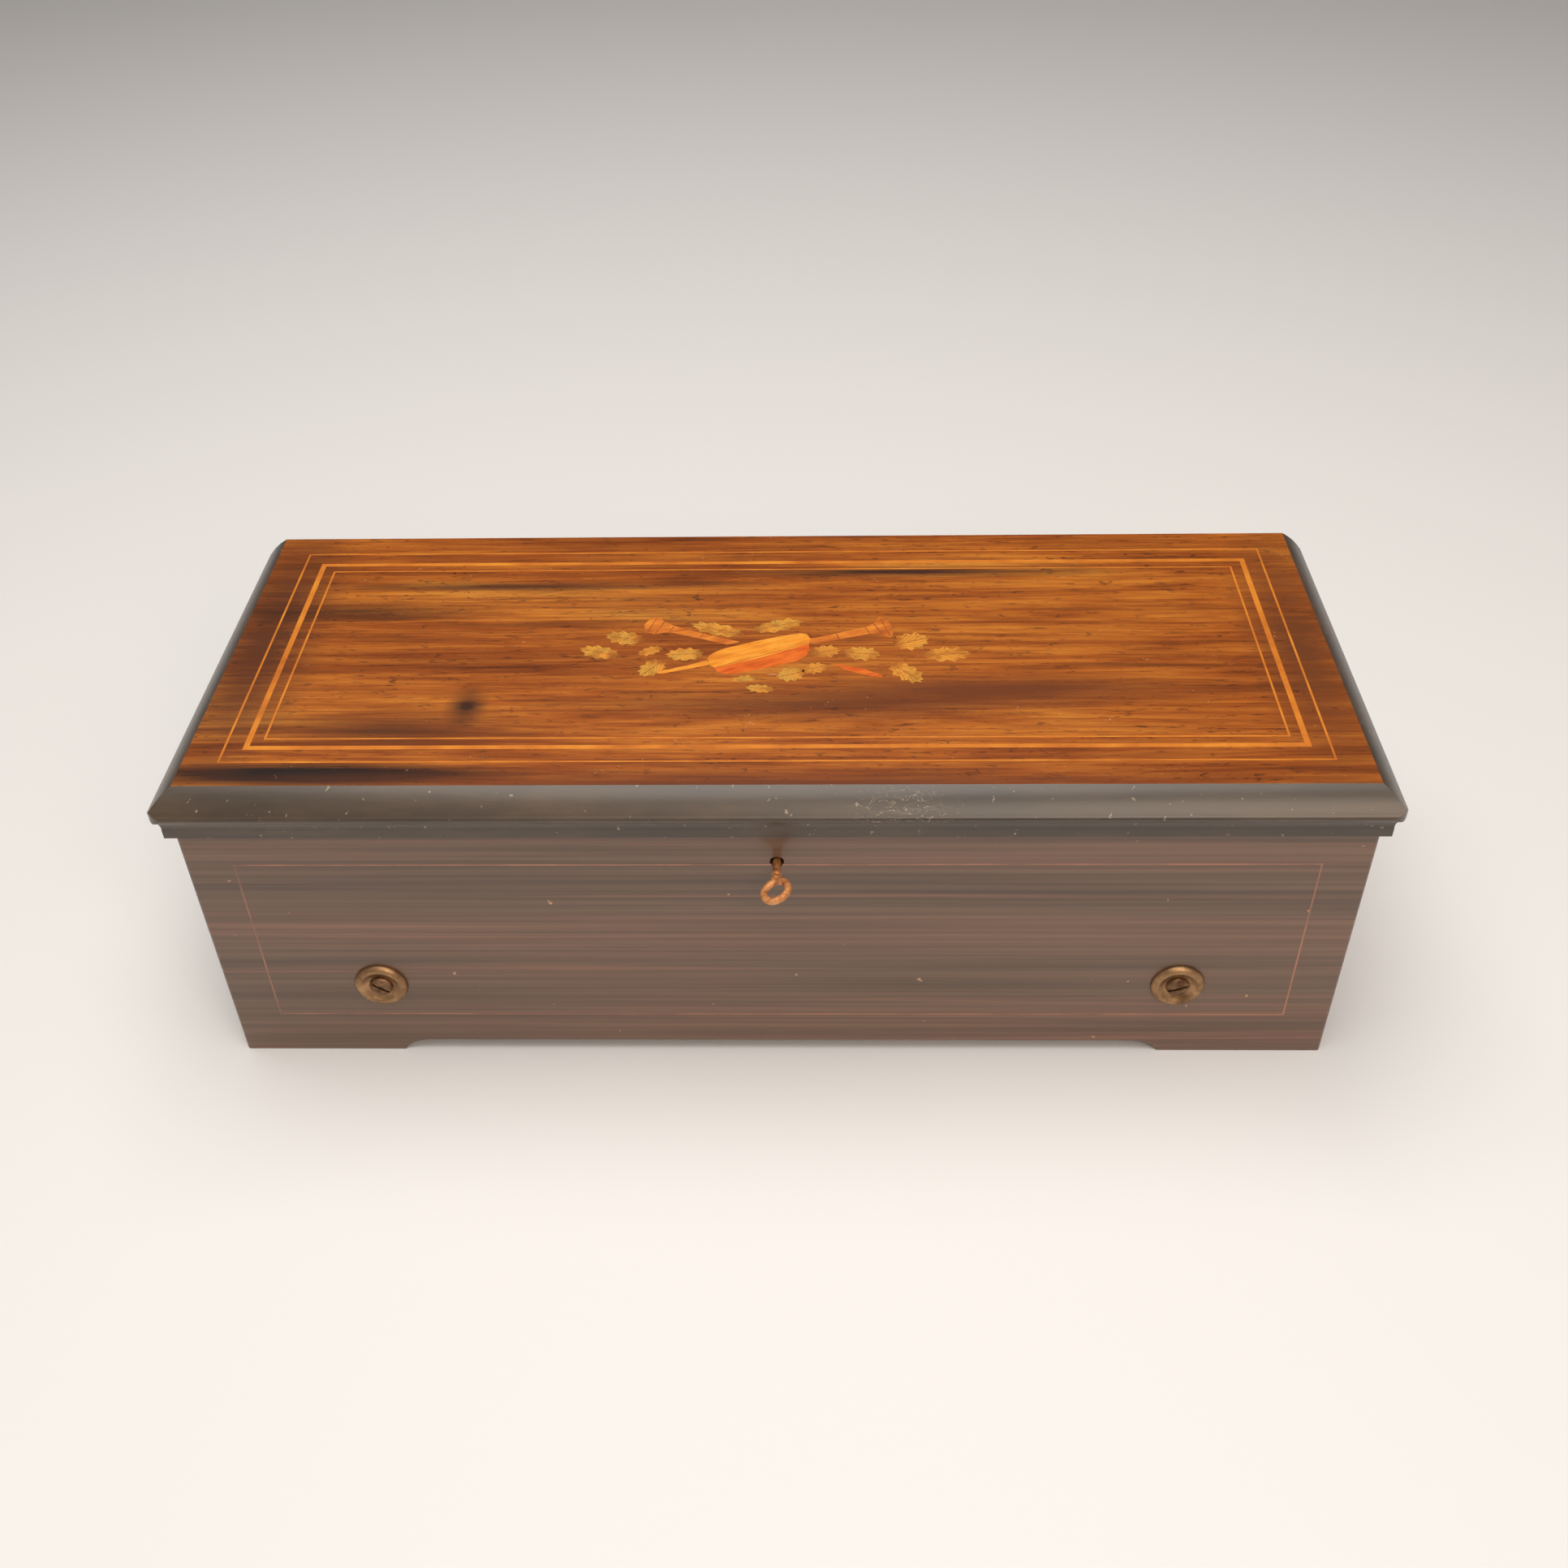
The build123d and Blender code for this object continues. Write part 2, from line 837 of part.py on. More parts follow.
def hinge_leaf(side, upper):
    x0 = side * hinge_spread - hinge_length / 2
    third = hinge_length / 3
    if upper:
        spans = [(x0 + third + end_gap, x0 + 2 * third - end_gap)]
        z0, z1 = lid_bottom, lid_bottom + leaf_plate
    else:
        spans = [(x0, x0 + third), (x0 + 2 * third, x0 + hinge_length)]
        z0, z1 = case_height - leaf_plate, case_height
    plate = block(x0, x0 + hinge_length, back - leaf_depth, back, z0, z1)
    for a, b in spans:
        tongue = block(a, b, back - 1, hinge_y, z0, z1)
        tongue -= bore_x(hinge_pin_radius + running_gap, a - 1, b + 1, hinge_y, hinge_z)
        plate += tongue + knuckle(a, b)
    return plate


save(group([hinge_leaf(side, False) for side in (-1, 1)]), "hinge_case_leaves")
save(group([hinge_leaf(side, True) for side in (-1, 1)]), "hinge_lid_leaves")
hinge_pins = [
    rod_x(
        hinge_pin_radius,
        side * hinge_spread - hinge_length / 2,
        side * hinge_spread + hinge_length / 2,
        hinge_y,
        hinge_z,
    )
    for side in (-1, 1)
]
save(group(hinge_pins), "hinge_pins")


# Lock, link plate and key

lock_front = inner_front - lock_depth
lock_bottom = key_height - lock_drop
lock_top = case_height - top_plate
bolt_y = (lock_front + inner_front) / 2
lug_hole = bolt_throw / 2 + lock_clearance / 2
finger_low = 9.0
finger_high = 11.0
bolt_low = 3.6
bolt_high = 6.9
talon_half = 2.8
talon_top = 4.9


def lock_case():
    case = block(key_x - lock_width / 2, key_x + lock_width / 2, lock_front, inner_front, lock_bottom, lock_top)
    case -= block(
        key_x - lock_width / 2 + lock_wall,
        key_x + lock_width / 2 - lock_wall,
        lock_front + lock_wall,
        inner_front - lock_wall,
        lock_bottom + lock_wall,
        lock_top,
    )
    case -= keyhole(lock_front - 1, lock_front + lock_wall + 1)
    case += rod_y(drill_pin_radius, lock_front + lock_wall, inner_front - lock_wall, key_x, key_height)
    return case


def lock_top_plate():
    plate = block(
        key_x - top_plate_width / 2,
        key_x + top_plate_width / 2,
        lock_front,
        inner_front,
        lock_top,
        case_height,
    )
    for side in (-1, 1):
        x = key_x + side * lug_offset
        plate -= block(
            x - lug_thickness / 2 - lock_clearance,
            x + lug_thickness / 2 + lock_clearance,
            bolt_y - lug_width / 2 - lock_clearance,
            bolt_y + lug_width / 2 + lock_clearance,
            lock_top - 1,
            case_height + 1,
        )
    return plate


def lock_bolt():
    """Sliding bolt with a talon that the key's bit drives and two fingers that pass through the lugs."""
    rest_talon = bolt_throw / 2
    stem = 3.0
    left_face = -lug_offset + lug_thickness / 2 + lock_clearance
    right_face = lug_offset + lug_thickness / 2 + lock_clearance
    right_stem = right_face + bolt_throw + lock_clearance
    left_stem = left_face + bolt_throw + stem
    bar_end = left_stem - 2 * stem
    points = [
        (bar_end, bolt_low),
        (rest_talon - talon_half, bolt_low),
        (rest_talon - talon_half, talon_top),
        (rest_talon + talon_half, talon_top),
        (rest_talon + talon_half, bolt_low),
        (right_stem + stem, bolt_low),
        (right_stem + stem, finger_high),
        (right_face, finger_high),
        (right_face, finger_low),
        (right_stem, finger_low),
        (right_stem, bolt_high),
        (left_stem, bolt_high),
        (left_stem, finger_high),
        (left_face, finger_high),
        (left_face, finger_low),
        (left_stem - stem, finger_low),
        (left_stem - stem, bolt_high),
        (bar_end, bolt_high),
    ]
    moved = [(key_x + x, key_height + z) for x, z in points]
    return plate_y(moved, bolt_y - bolt_thickness / 2, bolt_y + bolt_thickness / 2)


def link_plate():
    plate = link_plate_body()
    middle = key_height + (finger_low + finger_high) / 2
    gap = lock_clearance / 2 + (finger_high - finger_low) / 2
    for side in (-1, 1):
        x = key_x + side * lug_offset
        lug = block(
            x - lug_thickness / 2,
            x + lug_thickness / 2,
            bolt_y - lug_width / 2,
            bolt_y + lug_width / 2,
            lid_bottom - lug_drop,
            lid_bottom,
        )
        lug -= block(x - lug_thickness, x + lug_thickness, bolt_y - gap, bolt_y + gap, middle - gap, middle + gap)
        plate += lug
    return plate


def key():
    """Pipe key: an oval bow in the plane of the bit, a collar, a hollow shank and a flat bit."""
    inner_end = inner_front - lock_wall - end_gap
    shank = rod_y(key_radius, front - key_shank, inner_end, key_x, key_height)
    bow_y = front - key_reach + bow_length / 2
    bow = Pos(key_x, bow_y, key_height) * extrude(Ellipse(bow_width / 2, bow_length / 2), bow_thickness / 2, both=True)
    hole = Ellipse(bow_width / 2 - bow_rim, bow_length / 2 - bow_rim)
    bow -= Pos(key_x, bow_y, key_height) * extrude(hole, bow_thickness, both=True)
    bit = block(
        key_x,
        key_x + bit_length,
        bolt_y - bit_width / 2,
        bolt_y + bit_width / 2,
        key_height - bit_thickness / 2,
        key_height + bit_thickness / 2,
    )
    body = shank + bow + bit
    pipe = drill_pin_radius + 2 * running_gap
    body -= bore_y(pipe, lock_front + lock_wall - end_gap, inner_front, key_x, key_height)
    turned = Pos(key_x, 0, key_height) * Rot(0, -bow_tilt, 0) * Pos(-key_x, 0, -key_height) * body
    return turned


save(lock_case(), "lock_case")
save(lock_top_plate(), "lock_top_plate")
save(lock_bolt(), "lock_bolt")
save(link_plate(), "link_plate")
save(key(), "key")


# Bedplate, its blocks, and the movement screws with their cup washers


def bedplate():
    plate = block(-bed_half, bed_half, bed_front, bed_back, bed_bottom, bed_top)
    plate -= block(
        -bed_half + bed_rim_width,
        bed_half - bed_rim_width,
        bed_front + bed_rim_width,
        bed_back - bed_rim_width,
        bed_bottom - 1,
        bed_bottom + bed_rim,
    )
    for side in (-1, 1):
        for y_in, y_out in ((bed_front + bed_lug_lap, inner_front), (bed_back - bed_lug_lap, inner_back)):
            lug = block(
                side * screw_spread - bed_lug_width / 2,
                side * screw_spread + bed_lug_width / 2,
                min(y_in, y_out),
                max(y_in, y_out),
                bed_top - bed_lug_height,
                bed_top,
            )
            plate += lug
    plate -= screw_holes(inner_front - 1, inner_front + screw_bite + 1)
    plate -= screw_holes(inner_back - screw_bite - 1, inner_back + 1)
    return plate


def bed_blocks():
    blocks = []
    for side in (-1, 1):
        for y0, y1 in ((inner_front, inner_front + board), (inner_back - board, inner_back)):
            x0 = side * screw_spread - bed_lug_width / 2
            blocks.append(block(x0, x0 + bed_lug_width, y0, y1, base_top, bed_top - bed_lug_height))
    return group(blocks)


def movement_screw():
    """Slotted cheese-head screw, its head seat at the origin and its shank along +Y."""
    head = Rot(90, 0, 0) * extrude(RegularPolygon(screw_head_radius, washer_sides), screw_head)
    shank = rod_y(screw_radius, 0, board + washer_floor + screw_bite, 0, 0)
    slot = block(-screw_head_radius, screw_head_radius, -screw_head, -screw_head / 2, -screw_slot / 2, screw_slot / 2)
    return head + shank - slot


def ring_loft(near_radius, near, far_radius, far):
    """Many-sided cone between two radii at two heights along +Y."""
    rings = [
        Plane(origin=(0, y, 0), x_dir=(1, 0, 0), z_dir=(0, -1, 0)) * RegularPolygon(radius, washer_sides)
        for radius, y in ((near_radius, near), (far_radius, far))
    ]
    return loft(rings, ruled=True)


def cup_washer():
    """Dished washer with a raised rim, its back face at the origin and its dish open to -Y."""
    crest = washer_radius - washer_roll
    floor = screw_head_radius + lock_clearance
    washer = ring_loft(washer_radius, 0, crest, -washer_rim)
    washer -= ring_loft(floor, -washer_floor, crest, -washer_rim)
    return washer - bore_y(screw_radius + running_gap, -washer_rim, 1, 0, 0)


def at_screws(piece, reach):
    placed = []
    for side in (-1, 1):
        placed.append(Pos(side * screw_spread, front - reach, screw_height) * piece)
        placed.append(Pos(side * screw_spread, back + reach, screw_height) * Rot(0, 0, 180) * piece)
    return group(placed)


save(bedplate(), "bedplate")
save(bed_blocks(), "bedplate_blocks")
save(at_screws(movement_screw(), washer_floor), "movement_screws")
save(at_screws(cup_washer(), 0), "cup_washers")


# Gears


def tooth_ring(teeth, module, phase):
    """Outline points of a wheel: narrow straight-flanked teeth, one of them centred on the phase angle."""
    pitch = 360.0 / teeth
    radius = module * teeth / 2
    tip = radius + addendum * module
    root = radius - dedendum * module
    points = []
    for i in range(teeth):
        middle = phase + i * pitch
        points.append(polar(root, middle - tooth_root_share * pitch))
        points.append(polar(tip, middle - tooth_tip_share * pitch))
        points.append(polar(tip, middle + tooth_tip_share * pitch))
        points.append(polar(root, middle + tooth_root_share * pitch))
    return points


def mesh_phase(teeth_a, phase_a, teeth_b, direction):
    """Phase of wheel b so that it meshes with wheel a, which lies opposite to this direction from it."""
    offset = (direction - phase_a) * teeth_a / 360.0 % 1.0
    return direction + 180 - (0.5 - offset) * 360.0 / teeth_b


def gear(teeth, module, phase, x0, x1, y, z):
    points = [(y + a, z + b) for a, b in tooth_ring(teeth, module, phase)]
    return plate_x(points, x0, x1)


def windows(count, inner, outer, gap, x0, x1, y, z):
    """Crossings of a wheel: sector openings between its spokes."""
    cuts = []
    for i in range(count):
        middle = (i + 0.5) * 360.0 / count
        spread = 180.0 / count
        low = spread - gap / inner * 28
        high = spread - gap / outer * 28
        corners = [
            polar(inner, middle - low),
            polar(outer, middle - high),
            polar(outer, middle),
            polar(outer, middle + high),
            polar(inner, middle + low),
        ]
        cuts.append(plate_x([(y + a, z + b) for a, b in corners], x0 - 1, x1 + 1))
    return cuts


great_phase = 0.0
first_pinion_phase = mesh_phase(great_teeth, great_phase, first_pinion_teeth, 0.0)
second_direction = degrees(atan2(second_z - first_z, second_y - first_y))
second_pinion_phase = mesh_phase(first_wheel_teeth, 0.0, second_pinion_teeth, second_direction)
drive_direction = degrees(atan2(arbor_height - barrel_height, arbor_y - barrel_y))
drive_phase = mesh_phase(barrel_teeth, 0.0, drive_teeth, drive_direction)


# Cylinder: arbor with its two wheels, the hollow drum that shifts on it, and the pins


def cylinder_arbor():
    left_end = left_post - 1
    right_end = right_post + post_thickness + 1
    arbor = rod_x(arbor_radius, left_post + post_thickness + end_gap, right_post - end_gap, arbor_y, arbor_height)
    arbor += rod_x(pivot_radius, left_end, right_end, arbor_y, arbor_height)
    return arbor


def great_wheel():
    x0 = great_wheel_left
    x1 = x0 + great_wheel_thickness
    wheel = gear(great_teeth, module_great, great_phase, x0, x1, arbor_y, arbor_height)
    wheel += rod_x(arbor_radius + 2, x1 - 1, x1 + 2, arbor_y, arbor_height)
    wheel += rod_x(snail_stud_radius, snail_x - snail_base - 3, x0 + 1, arbor_y, arbor_height + snail_orbit)
    wheel -= rod_x(arbor_radius, x0 - 1, x1 + 4, arbor_y, arbor_height)
    return wheel


def drive_wheel():
    x0 = drive_wheel_left
    x1 = x0 + drive_wheel_thickness
    wheel = gear(drive_teeth, module_barrel, drive_phase, x0, x1, arbor_y, arbor_height)
    wheel += rod_x(arbor_radius + 2.5, x1 - 1, x1 + 4, arbor_y, arbor_height)
    wheel -= rod_x(arbor_radius, x0 - 1, x1 + 5, arbor_y, arbor_height)
    return wheel


def drum():
    tube = rod_x(drum_radius, drum_left, drum_right, arbor_y, arbor_height)
    tube -= rod_x(drum_radius - drum_wall, drum_left + drum_cap, drum_right - drum_cap, arbor_y, arbor_height)
    tube -= bore_x(arbor_radius + running_gap, drum_left - 1, drum_right + 1, arbor_y, arbor_height)
    follower_end = snail_x - snail_base - follower_gap
    follower_z = arbor_height + snail_orbit - follower_orbit
    tube += rod_x(follower_radius, drum_right - drum_cap, follower_end, arbor_y, follower_z)
    return tube


def pins():
    """Steel pins set in the drum, the same few for each comb tooth, spread round it by a steady turn."""
    turn = 360 * (sqrt(5) - 1) / 2
    side = pin_side / sqrt(3)
    placed = []
    for i in range(tooth_count):
        x = comb_left + (i + 1) * tooth_pitch
        for j in range(pins_per_tooth):
            angle = (i * pins_per_tooth + j) * turn
            corners = [polar(side, k * 120) for k in range(3)]
            peg = plate_z(corners, 0, pin_height)
            seat = Pos(x, arbor_y, arbor_height) * Rot(angle, 0, 0) * Pos(0, 0, drum_radius)
            placed.append(seat * peg)
    return group(placed)


save(cylinder_arbor(), "cylinder_arbor")
save(great_wheel(), "great_wheel")
save(drive_wheel(), "drive_wheel")
save(drum(), "cylinder_drum")
save(pins(), "cylinder_pins")


# Tune change snail: an eight-pointed star with a stepped ramp, on a stud of the great wheel


def tune_snail():
    sector = 360.0 / tune_count
    star = []
    for i in range(tune_count):
        star.append(polar(star_radius, i * sector))
        star.append(polar(star_notch, (i + 0.5) * sector))
    y = arbor_y
    z = arbor_height + snail_orbit
    body = plate_x([(y + a, z + b) for a, b in star], snail_x, snail_x + star_thickness - end_gap)
    start = -90.0 - sector / 2
    for i in range(tune_count):
        a = start - i * sector
        wedge = [(0.0, 0.0)] + [polar(snail_radius, a + k * sector / 2) for k in range(3)]
        height = snail_base + i * tune_step
        body += plate_x([(y + p, z + q) for p, q in wedge], snail_x - height, snail_x)
    return body - bore_x(snail_stud_radius + running_gap, snail_x - 9, snail_x + 3, y, z)


save(tune_snail(), "tune_snail")


# Posts that carry the cylinder arbor and the spring barrel's arbor


def post(x0, thickness, y, z, bore, width):
    foot = width * post_foot
    body = plate_x(
        [(y - foot, bed_top), (y + foot, bed_top), (y + width / 2, bed_top + foot), (y + width / 2, z),
         (y - width / 2, z), (y - width / 2, bed_top + foot)],
        x0,
        x0 + thickness,
    )
    body += rod_x(width / 2, x0, x0 + thickness, y, z)
    return body - bore_x(bore, x0 - 1, x0 + thickness + 1, y, z)


bore = pivot_radius + running_gap
save(post(left_post, post_thickness, arbor_y, arbor_height, bore, post_width), "left_arbor_post")
save(post(right_post, post_thickness, arbor_y, arbor_height, bore, right_post_width), "right_arbor_post")
barrel_bore = barrel_arbor_radius + running_gap
barrel_posts = [
    post(x0, barrel_post_thickness, barrel_y, barrel_height, barrel_bore, post_width)
    for x0 in (barrel_left_post, barrel_right_post)
]
save(group(barrel_posts), "barrel_posts")


# Comb: steel plate with sawn teeth that shorten from bass to treble, on a cast base with screws


def comb():
    points = [(comb_right, comb_y), (comb_left, comb_y), (comb_left, comb_tip - bass_tooth)]
    for i in range(tooth_count):
        length = bass_tooth + (treble_tooth - bass_tooth) * i / (tooth_count - 1)
        x0 = comb_left + tooth_pitch / 2 + i * tooth_pitch + tooth_slit / 2
        x1 = x0 + tooth_pitch - tooth_slit
        root = comb_tip - length
        points += [(x0, root), (x0, comb_tip), (x1, comb_tip), (x1, root)]
    points.append((comb_right, comb_tip - treble_tooth))
    return plate_z(points, arbor_height - comb_thickness / 2, arbor_height + comb_thickness / 2)


def comb_base():
    top = arbor_height - comb_thickness / 2
    y0 = comb_base_y
    y1 = comb_base_y + comb_base_depth
    section = [
        (y0 - comb_base_slope / 2, bed_top),
        (y1 + comb_base_slope, bed_top),
        (y1 + comb_base_slope, bed_top + comb_base_slope),
        (y1, bed_top + 2 * comb_base_slope),
        (y1, top),
        (y0, top),
        (y0, bed_top + comb_base_slope),
        (y0 - comb_base_slope / 2, bed_top + comb_base_slope),
    ]
    return plate_x(section, comb_left, comb_right)


def comb_screw_group():
    top = arbor_height + comb_thickness / 2
    span = comb_right - comb_left
    y = comb_base_y + comb_base_depth / 2
    heads = []
    for i in range(comb_screws):
        x = comb_left + span * (i + 0.5) / comb_screws
        heads.append(Pos(x, y, top) * extrude(RegularPolygon(comb_screw_radius, 12), comb_screw_head))
    return group(heads)


save(comb(), "comb")
save(comb_base(), "comb_base")
save(comb_screw_group(), "comb_screws")


# Spring barrel with its wheel, the winding arbor with two ratchet wheels, the click, the lever


def spring_barrel():
    body = rod_x(barrel_radius, barrel_left, barrel_right, barrel_y, barrel_height)
    groove = rod_x(barrel_radius, barrel_left + 2, barrel_left + 4, barrel_y, barrel_height)
    groove -= rod_x(barrel_radius - barrel_rim, barrel_left + 1, barrel_left + 5, barrel_y, barrel_height)
    body -= groove
    return body - bore_x(barrel_arbor_radius + running_gap, barrel_left - 1, barrel_right + 1, barrel_y, barrel_height)


def barrel_wheel():
    x1 = drive_wheel_left + drive_wheel_thickness - 1
    wheel = gear(barrel_teeth, module_barrel, 0.0, barrel_right, x1, barrel_y, barrel_height)
    return wheel - bore_x(barrel_arbor_radius + running_gap, barrel_right - 1, x1 + 1, barrel_y, barrel_height)


def ratchet(x0):
    pitch = 360.0 / ratchet_teeth
    points = []
    for i in range(ratchet_teeth):
        points.append(polar(ratchet_root, i * pitch))
        points.append(polar(ratchet_radius, i * pitch))
    placed = [(barrel_y + a, barrel_height + b) for a, b in points]
    wheel = plate_x(placed, x0, x0 + ratchet_thickness)
    return wheel - rod_x(barrel_arbor_radius, x0 - 1, x0 + ratchet_thickness + 1, barrel_y, barrel_height)


def click():
    """Pawl that lies along the holding ratchet, on a screw of the left barrel post's foot."""
    x0 = holding_ratchet_left
    tip_y = barrel_y + ratchet_radius + 2 * end_gap
    low_z = barrel_height - click_length
    points = [
        (tip_y, barrel_height + 3),
        (tip_y + 1.5, barrel_height + 3),
        (tip_y + click_width + 2, low_z + 4),
        (tip_y + click_width + 2, low_z),
        (tip_y + 2, low_z),
        (tip_y + 1, low_z + 6),
    ]
    arm = plate_x(points, x0, x0 + ratchet_thickness)
    return arm - bore_x(click_pin_radius + running_gap, x0 - 1, x0 + ratchet_thickness + 1, click_y, click_z)


def click_bracket():
    """Small post on the bedplate with the click's pivot screw."""
    x1 = holding_ratchet_left - end_gap
    x0 = barrel_left_post + barrel_post_thickness
    foot = block(x0, x1, click_y - click_foot_width / 2, click_y + click_foot_width / 2, bed_top, click_z + 3)
    return foot + rod_x(click_pin_radius, x1 - 1, x1 + end_gap + ratchet_thickness, click_y, click_z)


def lever_place(shape):
    return Pos(0, barrel_y, barrel_height) * Rot(lever_rest, 0, 0) * shape


def winding_lever():
    """Ratchet cup on the winding arbor with a tapered arm."""
    x0 = lever_cup_left
    x1 = x0 + lever_cup_width
    cup = rod_x(lever_cup_radius, x0, x1, 0, 0)
    cup -= bore_x(barrel_arbor_radius + running_gap, x0 - 1, x1 + 1, 0, 0)
    near = sqrt(lever_cup_radius**2 - (lever_root_width / 2) ** 2) - 0.5
    middle = (x0 + x1) / 2
    arm = plate_x(
        [
            (near, -lever_root_width / 2),
            (lever_length, -lever_tip_width / 2),
            (lever_length, lever_tip_width / 2),
            (near, lever_root_width / 2),
        ],
        middle - lever_thickness / 2,
        middle + lever_thickness / 2,
    )
    tang = rod_y(tang_radius, lever_length - 1, lever_length + grip_length - tang_short, middle, 0)
    return lever_place(cup + arm + tang)


def lever_grip():
    """Turned wooden grip on the lever's tang."""
    middle = lever_cup_left + lever_cup_width / 2
    start = lever_length
    end = lever_length + grip_length
    neck = grip_radius * grip_neck_share
    side = ThreePointArc((neck, start), (grip_radius, start + 0.6 * grip_length), (neck, end))
    rest = Polyline((neck, end), (0, end), (0, start), (neck, start))
    body = revolve(make_face(Wire([side] + rest.edges())), Axis.Y)
    body -= rod_y(tang_radius, start - 1, start + grip_length - tang_short, 0, 0)
    return lever_place(Pos(middle, 0, 0) * body)


winding_arbor = rod_x(
    barrel_arbor_radius,
    lever_cup_left - 2,
    barrel_right_post + barrel_post_thickness + 1,
    barrel_y,
    barrel_height,
)
save(spring_barrel(), "spring_barrel")
save(barrel_wheel(), "barrel_wheel")
save(winding_arbor, "winding_arbor")
save(ratchet(holding_ratchet_left), "ratchet_wheel")
save(click(), "click")
save(click_bracket(), "click_bracket")
save(winding_lever(), "winding_lever")
save(lever_grip(), "lever_grip")


# Governor: cage with two cheeks, first and second wheels, endless screw with its fan, top cock


def cheek_plate(x0, y0, y1):
    plate = plate_x(
        [
            (y0, bed_top + cage_foot),
            (y1, bed_top + cage_foot),
            (y1, first_z + cheek_shoulder),
            (y1 - cheek_top_width, cheek_top),
            (y0, cheek_top),
        ],
        x0,
        x0 + cheek,
    )
    for y, z in ((first_y, first_z), (second_y, second_z)):
        plate -= bore_x(arbor_pivot_radius + running_gap, x0 - 1, x0 + cheek + 1, y, z)
    return plate


def governor_cage():
    y0 = front + cage_front
    y1 = front + cage_back
    foot = block(cage_left, cage_right + cheek, y0, y1, bed_top, bed_top + cage_foot)
    left_front = arbor_y + post_foot * right_post_width + 1
    foot -= block(cage_left - 1, right_post + post_thickness + 1, y0 - 1, left_front, bed_top - 1, cheek_top)
    cage = foot + cheek_plate(cage_left, left_front, y1) + cheek_plate(cage_right, y0 + 2, y1)
    cage -= bore_z(arbor_pivot_radius + running_gap, bed_top + 1, bed_top + cage_foot + 1, worm_x, worm_y)
    return cage


def governor_cock():
    """Bridge on top of the right cheek that holds the endless screw's upper pivot."""
    bar = block(
        worm_x,
        cage_right + cheek,
        worm_y - cock_width / 2,
        worm_y + cock_width / 2,
        cheek_top,
        cheek_top + cock_thickness,
    )
    bar += rod_z(cock_width / 2, cheek_top, cheek_top + cock_thickness, worm_x, worm_y)
    return bar - bore_z(arbor_pivot_radius + running_gap, cheek_top - 1, cheek_top + 2, worm_x, worm_y)


def turned_arbor(y, z, x0, x1):
    """Arbor with a thin pivot at each end, running between the cheeks."""
    shaft = rod_x(arbor_body_radius, x0, x1, y, z)
    return shaft + rod_x(arbor_pivot_radius, cage_left - 1, cage_right + cheek, y, z)


def first_wheel():
    pinion_left = great_wheel_left - 1
    pinion_right = cage_left - end_gap
    body = gear(first_pinion_teeth, module_great, first_pinion_phase, pinion_left, pinion_right, first_y, first_z)
    body += turned_arbor(first_y, first_z, cage_left + cheek + end_gap, cage_right - end_gap)
    wheel_left = cage_left + cheek + first_wheel_gap
    wheel = gear(first_wheel_teeth, module_first, 0.0, wheel_left, wheel_left + wheel_thickness, first_y, first_z)
    for cut in windows(5, 5.0, 14.5, 3.0, wheel_left, wheel_left + wheel_thickness, first_y, first_z):
        wheel -= cut
    return body + wheel


def second_wheel():
    wheel_left = cage_left + cheek + first_wheel_gap
    body = turned_arbor(second_y, second_z, cage_left + cheek + end_gap, cage_right - end_gap)
    body += gear(
        second_pinion_teeth, module_first, second_pinion_phase, wheel_left - 1, wheel_left + 4, second_y, second_z
    )
    wheel = gear(
        second_wheel_teeth,
        module_second,
        180.0 + 180.0 / second_wheel_teeth,
        second_wheel_x,
        second_wheel_x + wheel_thickness,
        second_y,
        second_z,
    )
    for cut in windows(4, 4.0, 9.6, 2.4, second_wheel_x, second_wheel_x + wheel_thickness, second_y, second_z):
        wheel -= cut
    return body + wheel


def endless_screw():
    """Upright arbor with a single right-hand thread that the second wheel drives."""
    lead = pi * module_second
    length = worm_turns * lead
    start = second_z - lead * (round(worm_turns / 2) + 0.25)
    shaft = rod_z(worm_shaft_radius, start - 2, fan_bottom, worm_x, worm_y)
    shaft += rod_z(arbor_pivot_radius, bed_top + 1, cheek_top + 2 - end_gap, worm_x, worm_y)
    crest = worm_radius + 0.7 * module_second
    foot = worm_shaft_radius - 0.15
    section = Plane(origin=(0, 0, 0), x_dir=(1, 0, 0), z_dir=(0, -1, 0)) * outline(
        [(foot, -0.36), (crest, -0.14), (crest, 0.14), (foot, 0.36)]
    )
    path = Helix(lead, length, worm_radius)
    thread = sweep(Pos(0, 0, 0) * section, path, is_frenet=True)
    return shaft + Pos(worm_x, worm_y, start) * thread


def fan():
    """Air brake: two flat wings folded from one strip on a boss."""
    top = fan_bottom + fan_height
    wings = block(
        worm_x - fan_reach,
        worm_x + fan_reach,
        worm_y - fan_thickness / 2,
        worm_y + fan_thickness / 2,
        fan_bottom,
        top,
    )
    wings += rod_z(fan_boss_radius, fan_bottom, top + 2, worm_x, worm_y)
    return wings - rod_z(arbor_pivot_radius, fan_bottom - 1, top + 3, worm_x, worm_y)


save(governor_cage(), "governor_cage")
save(governor_cock(), "governor_cock")
save(first_wheel(), "governor_first_wheel")
save(second_wheel(), "governor_second_wheel")
save(endless_screw(), "endless_screw")
save(fan(), "governor_fan")


# Control levers: flat bars on shouldered studs, with upturned finger pieces in the right compartment


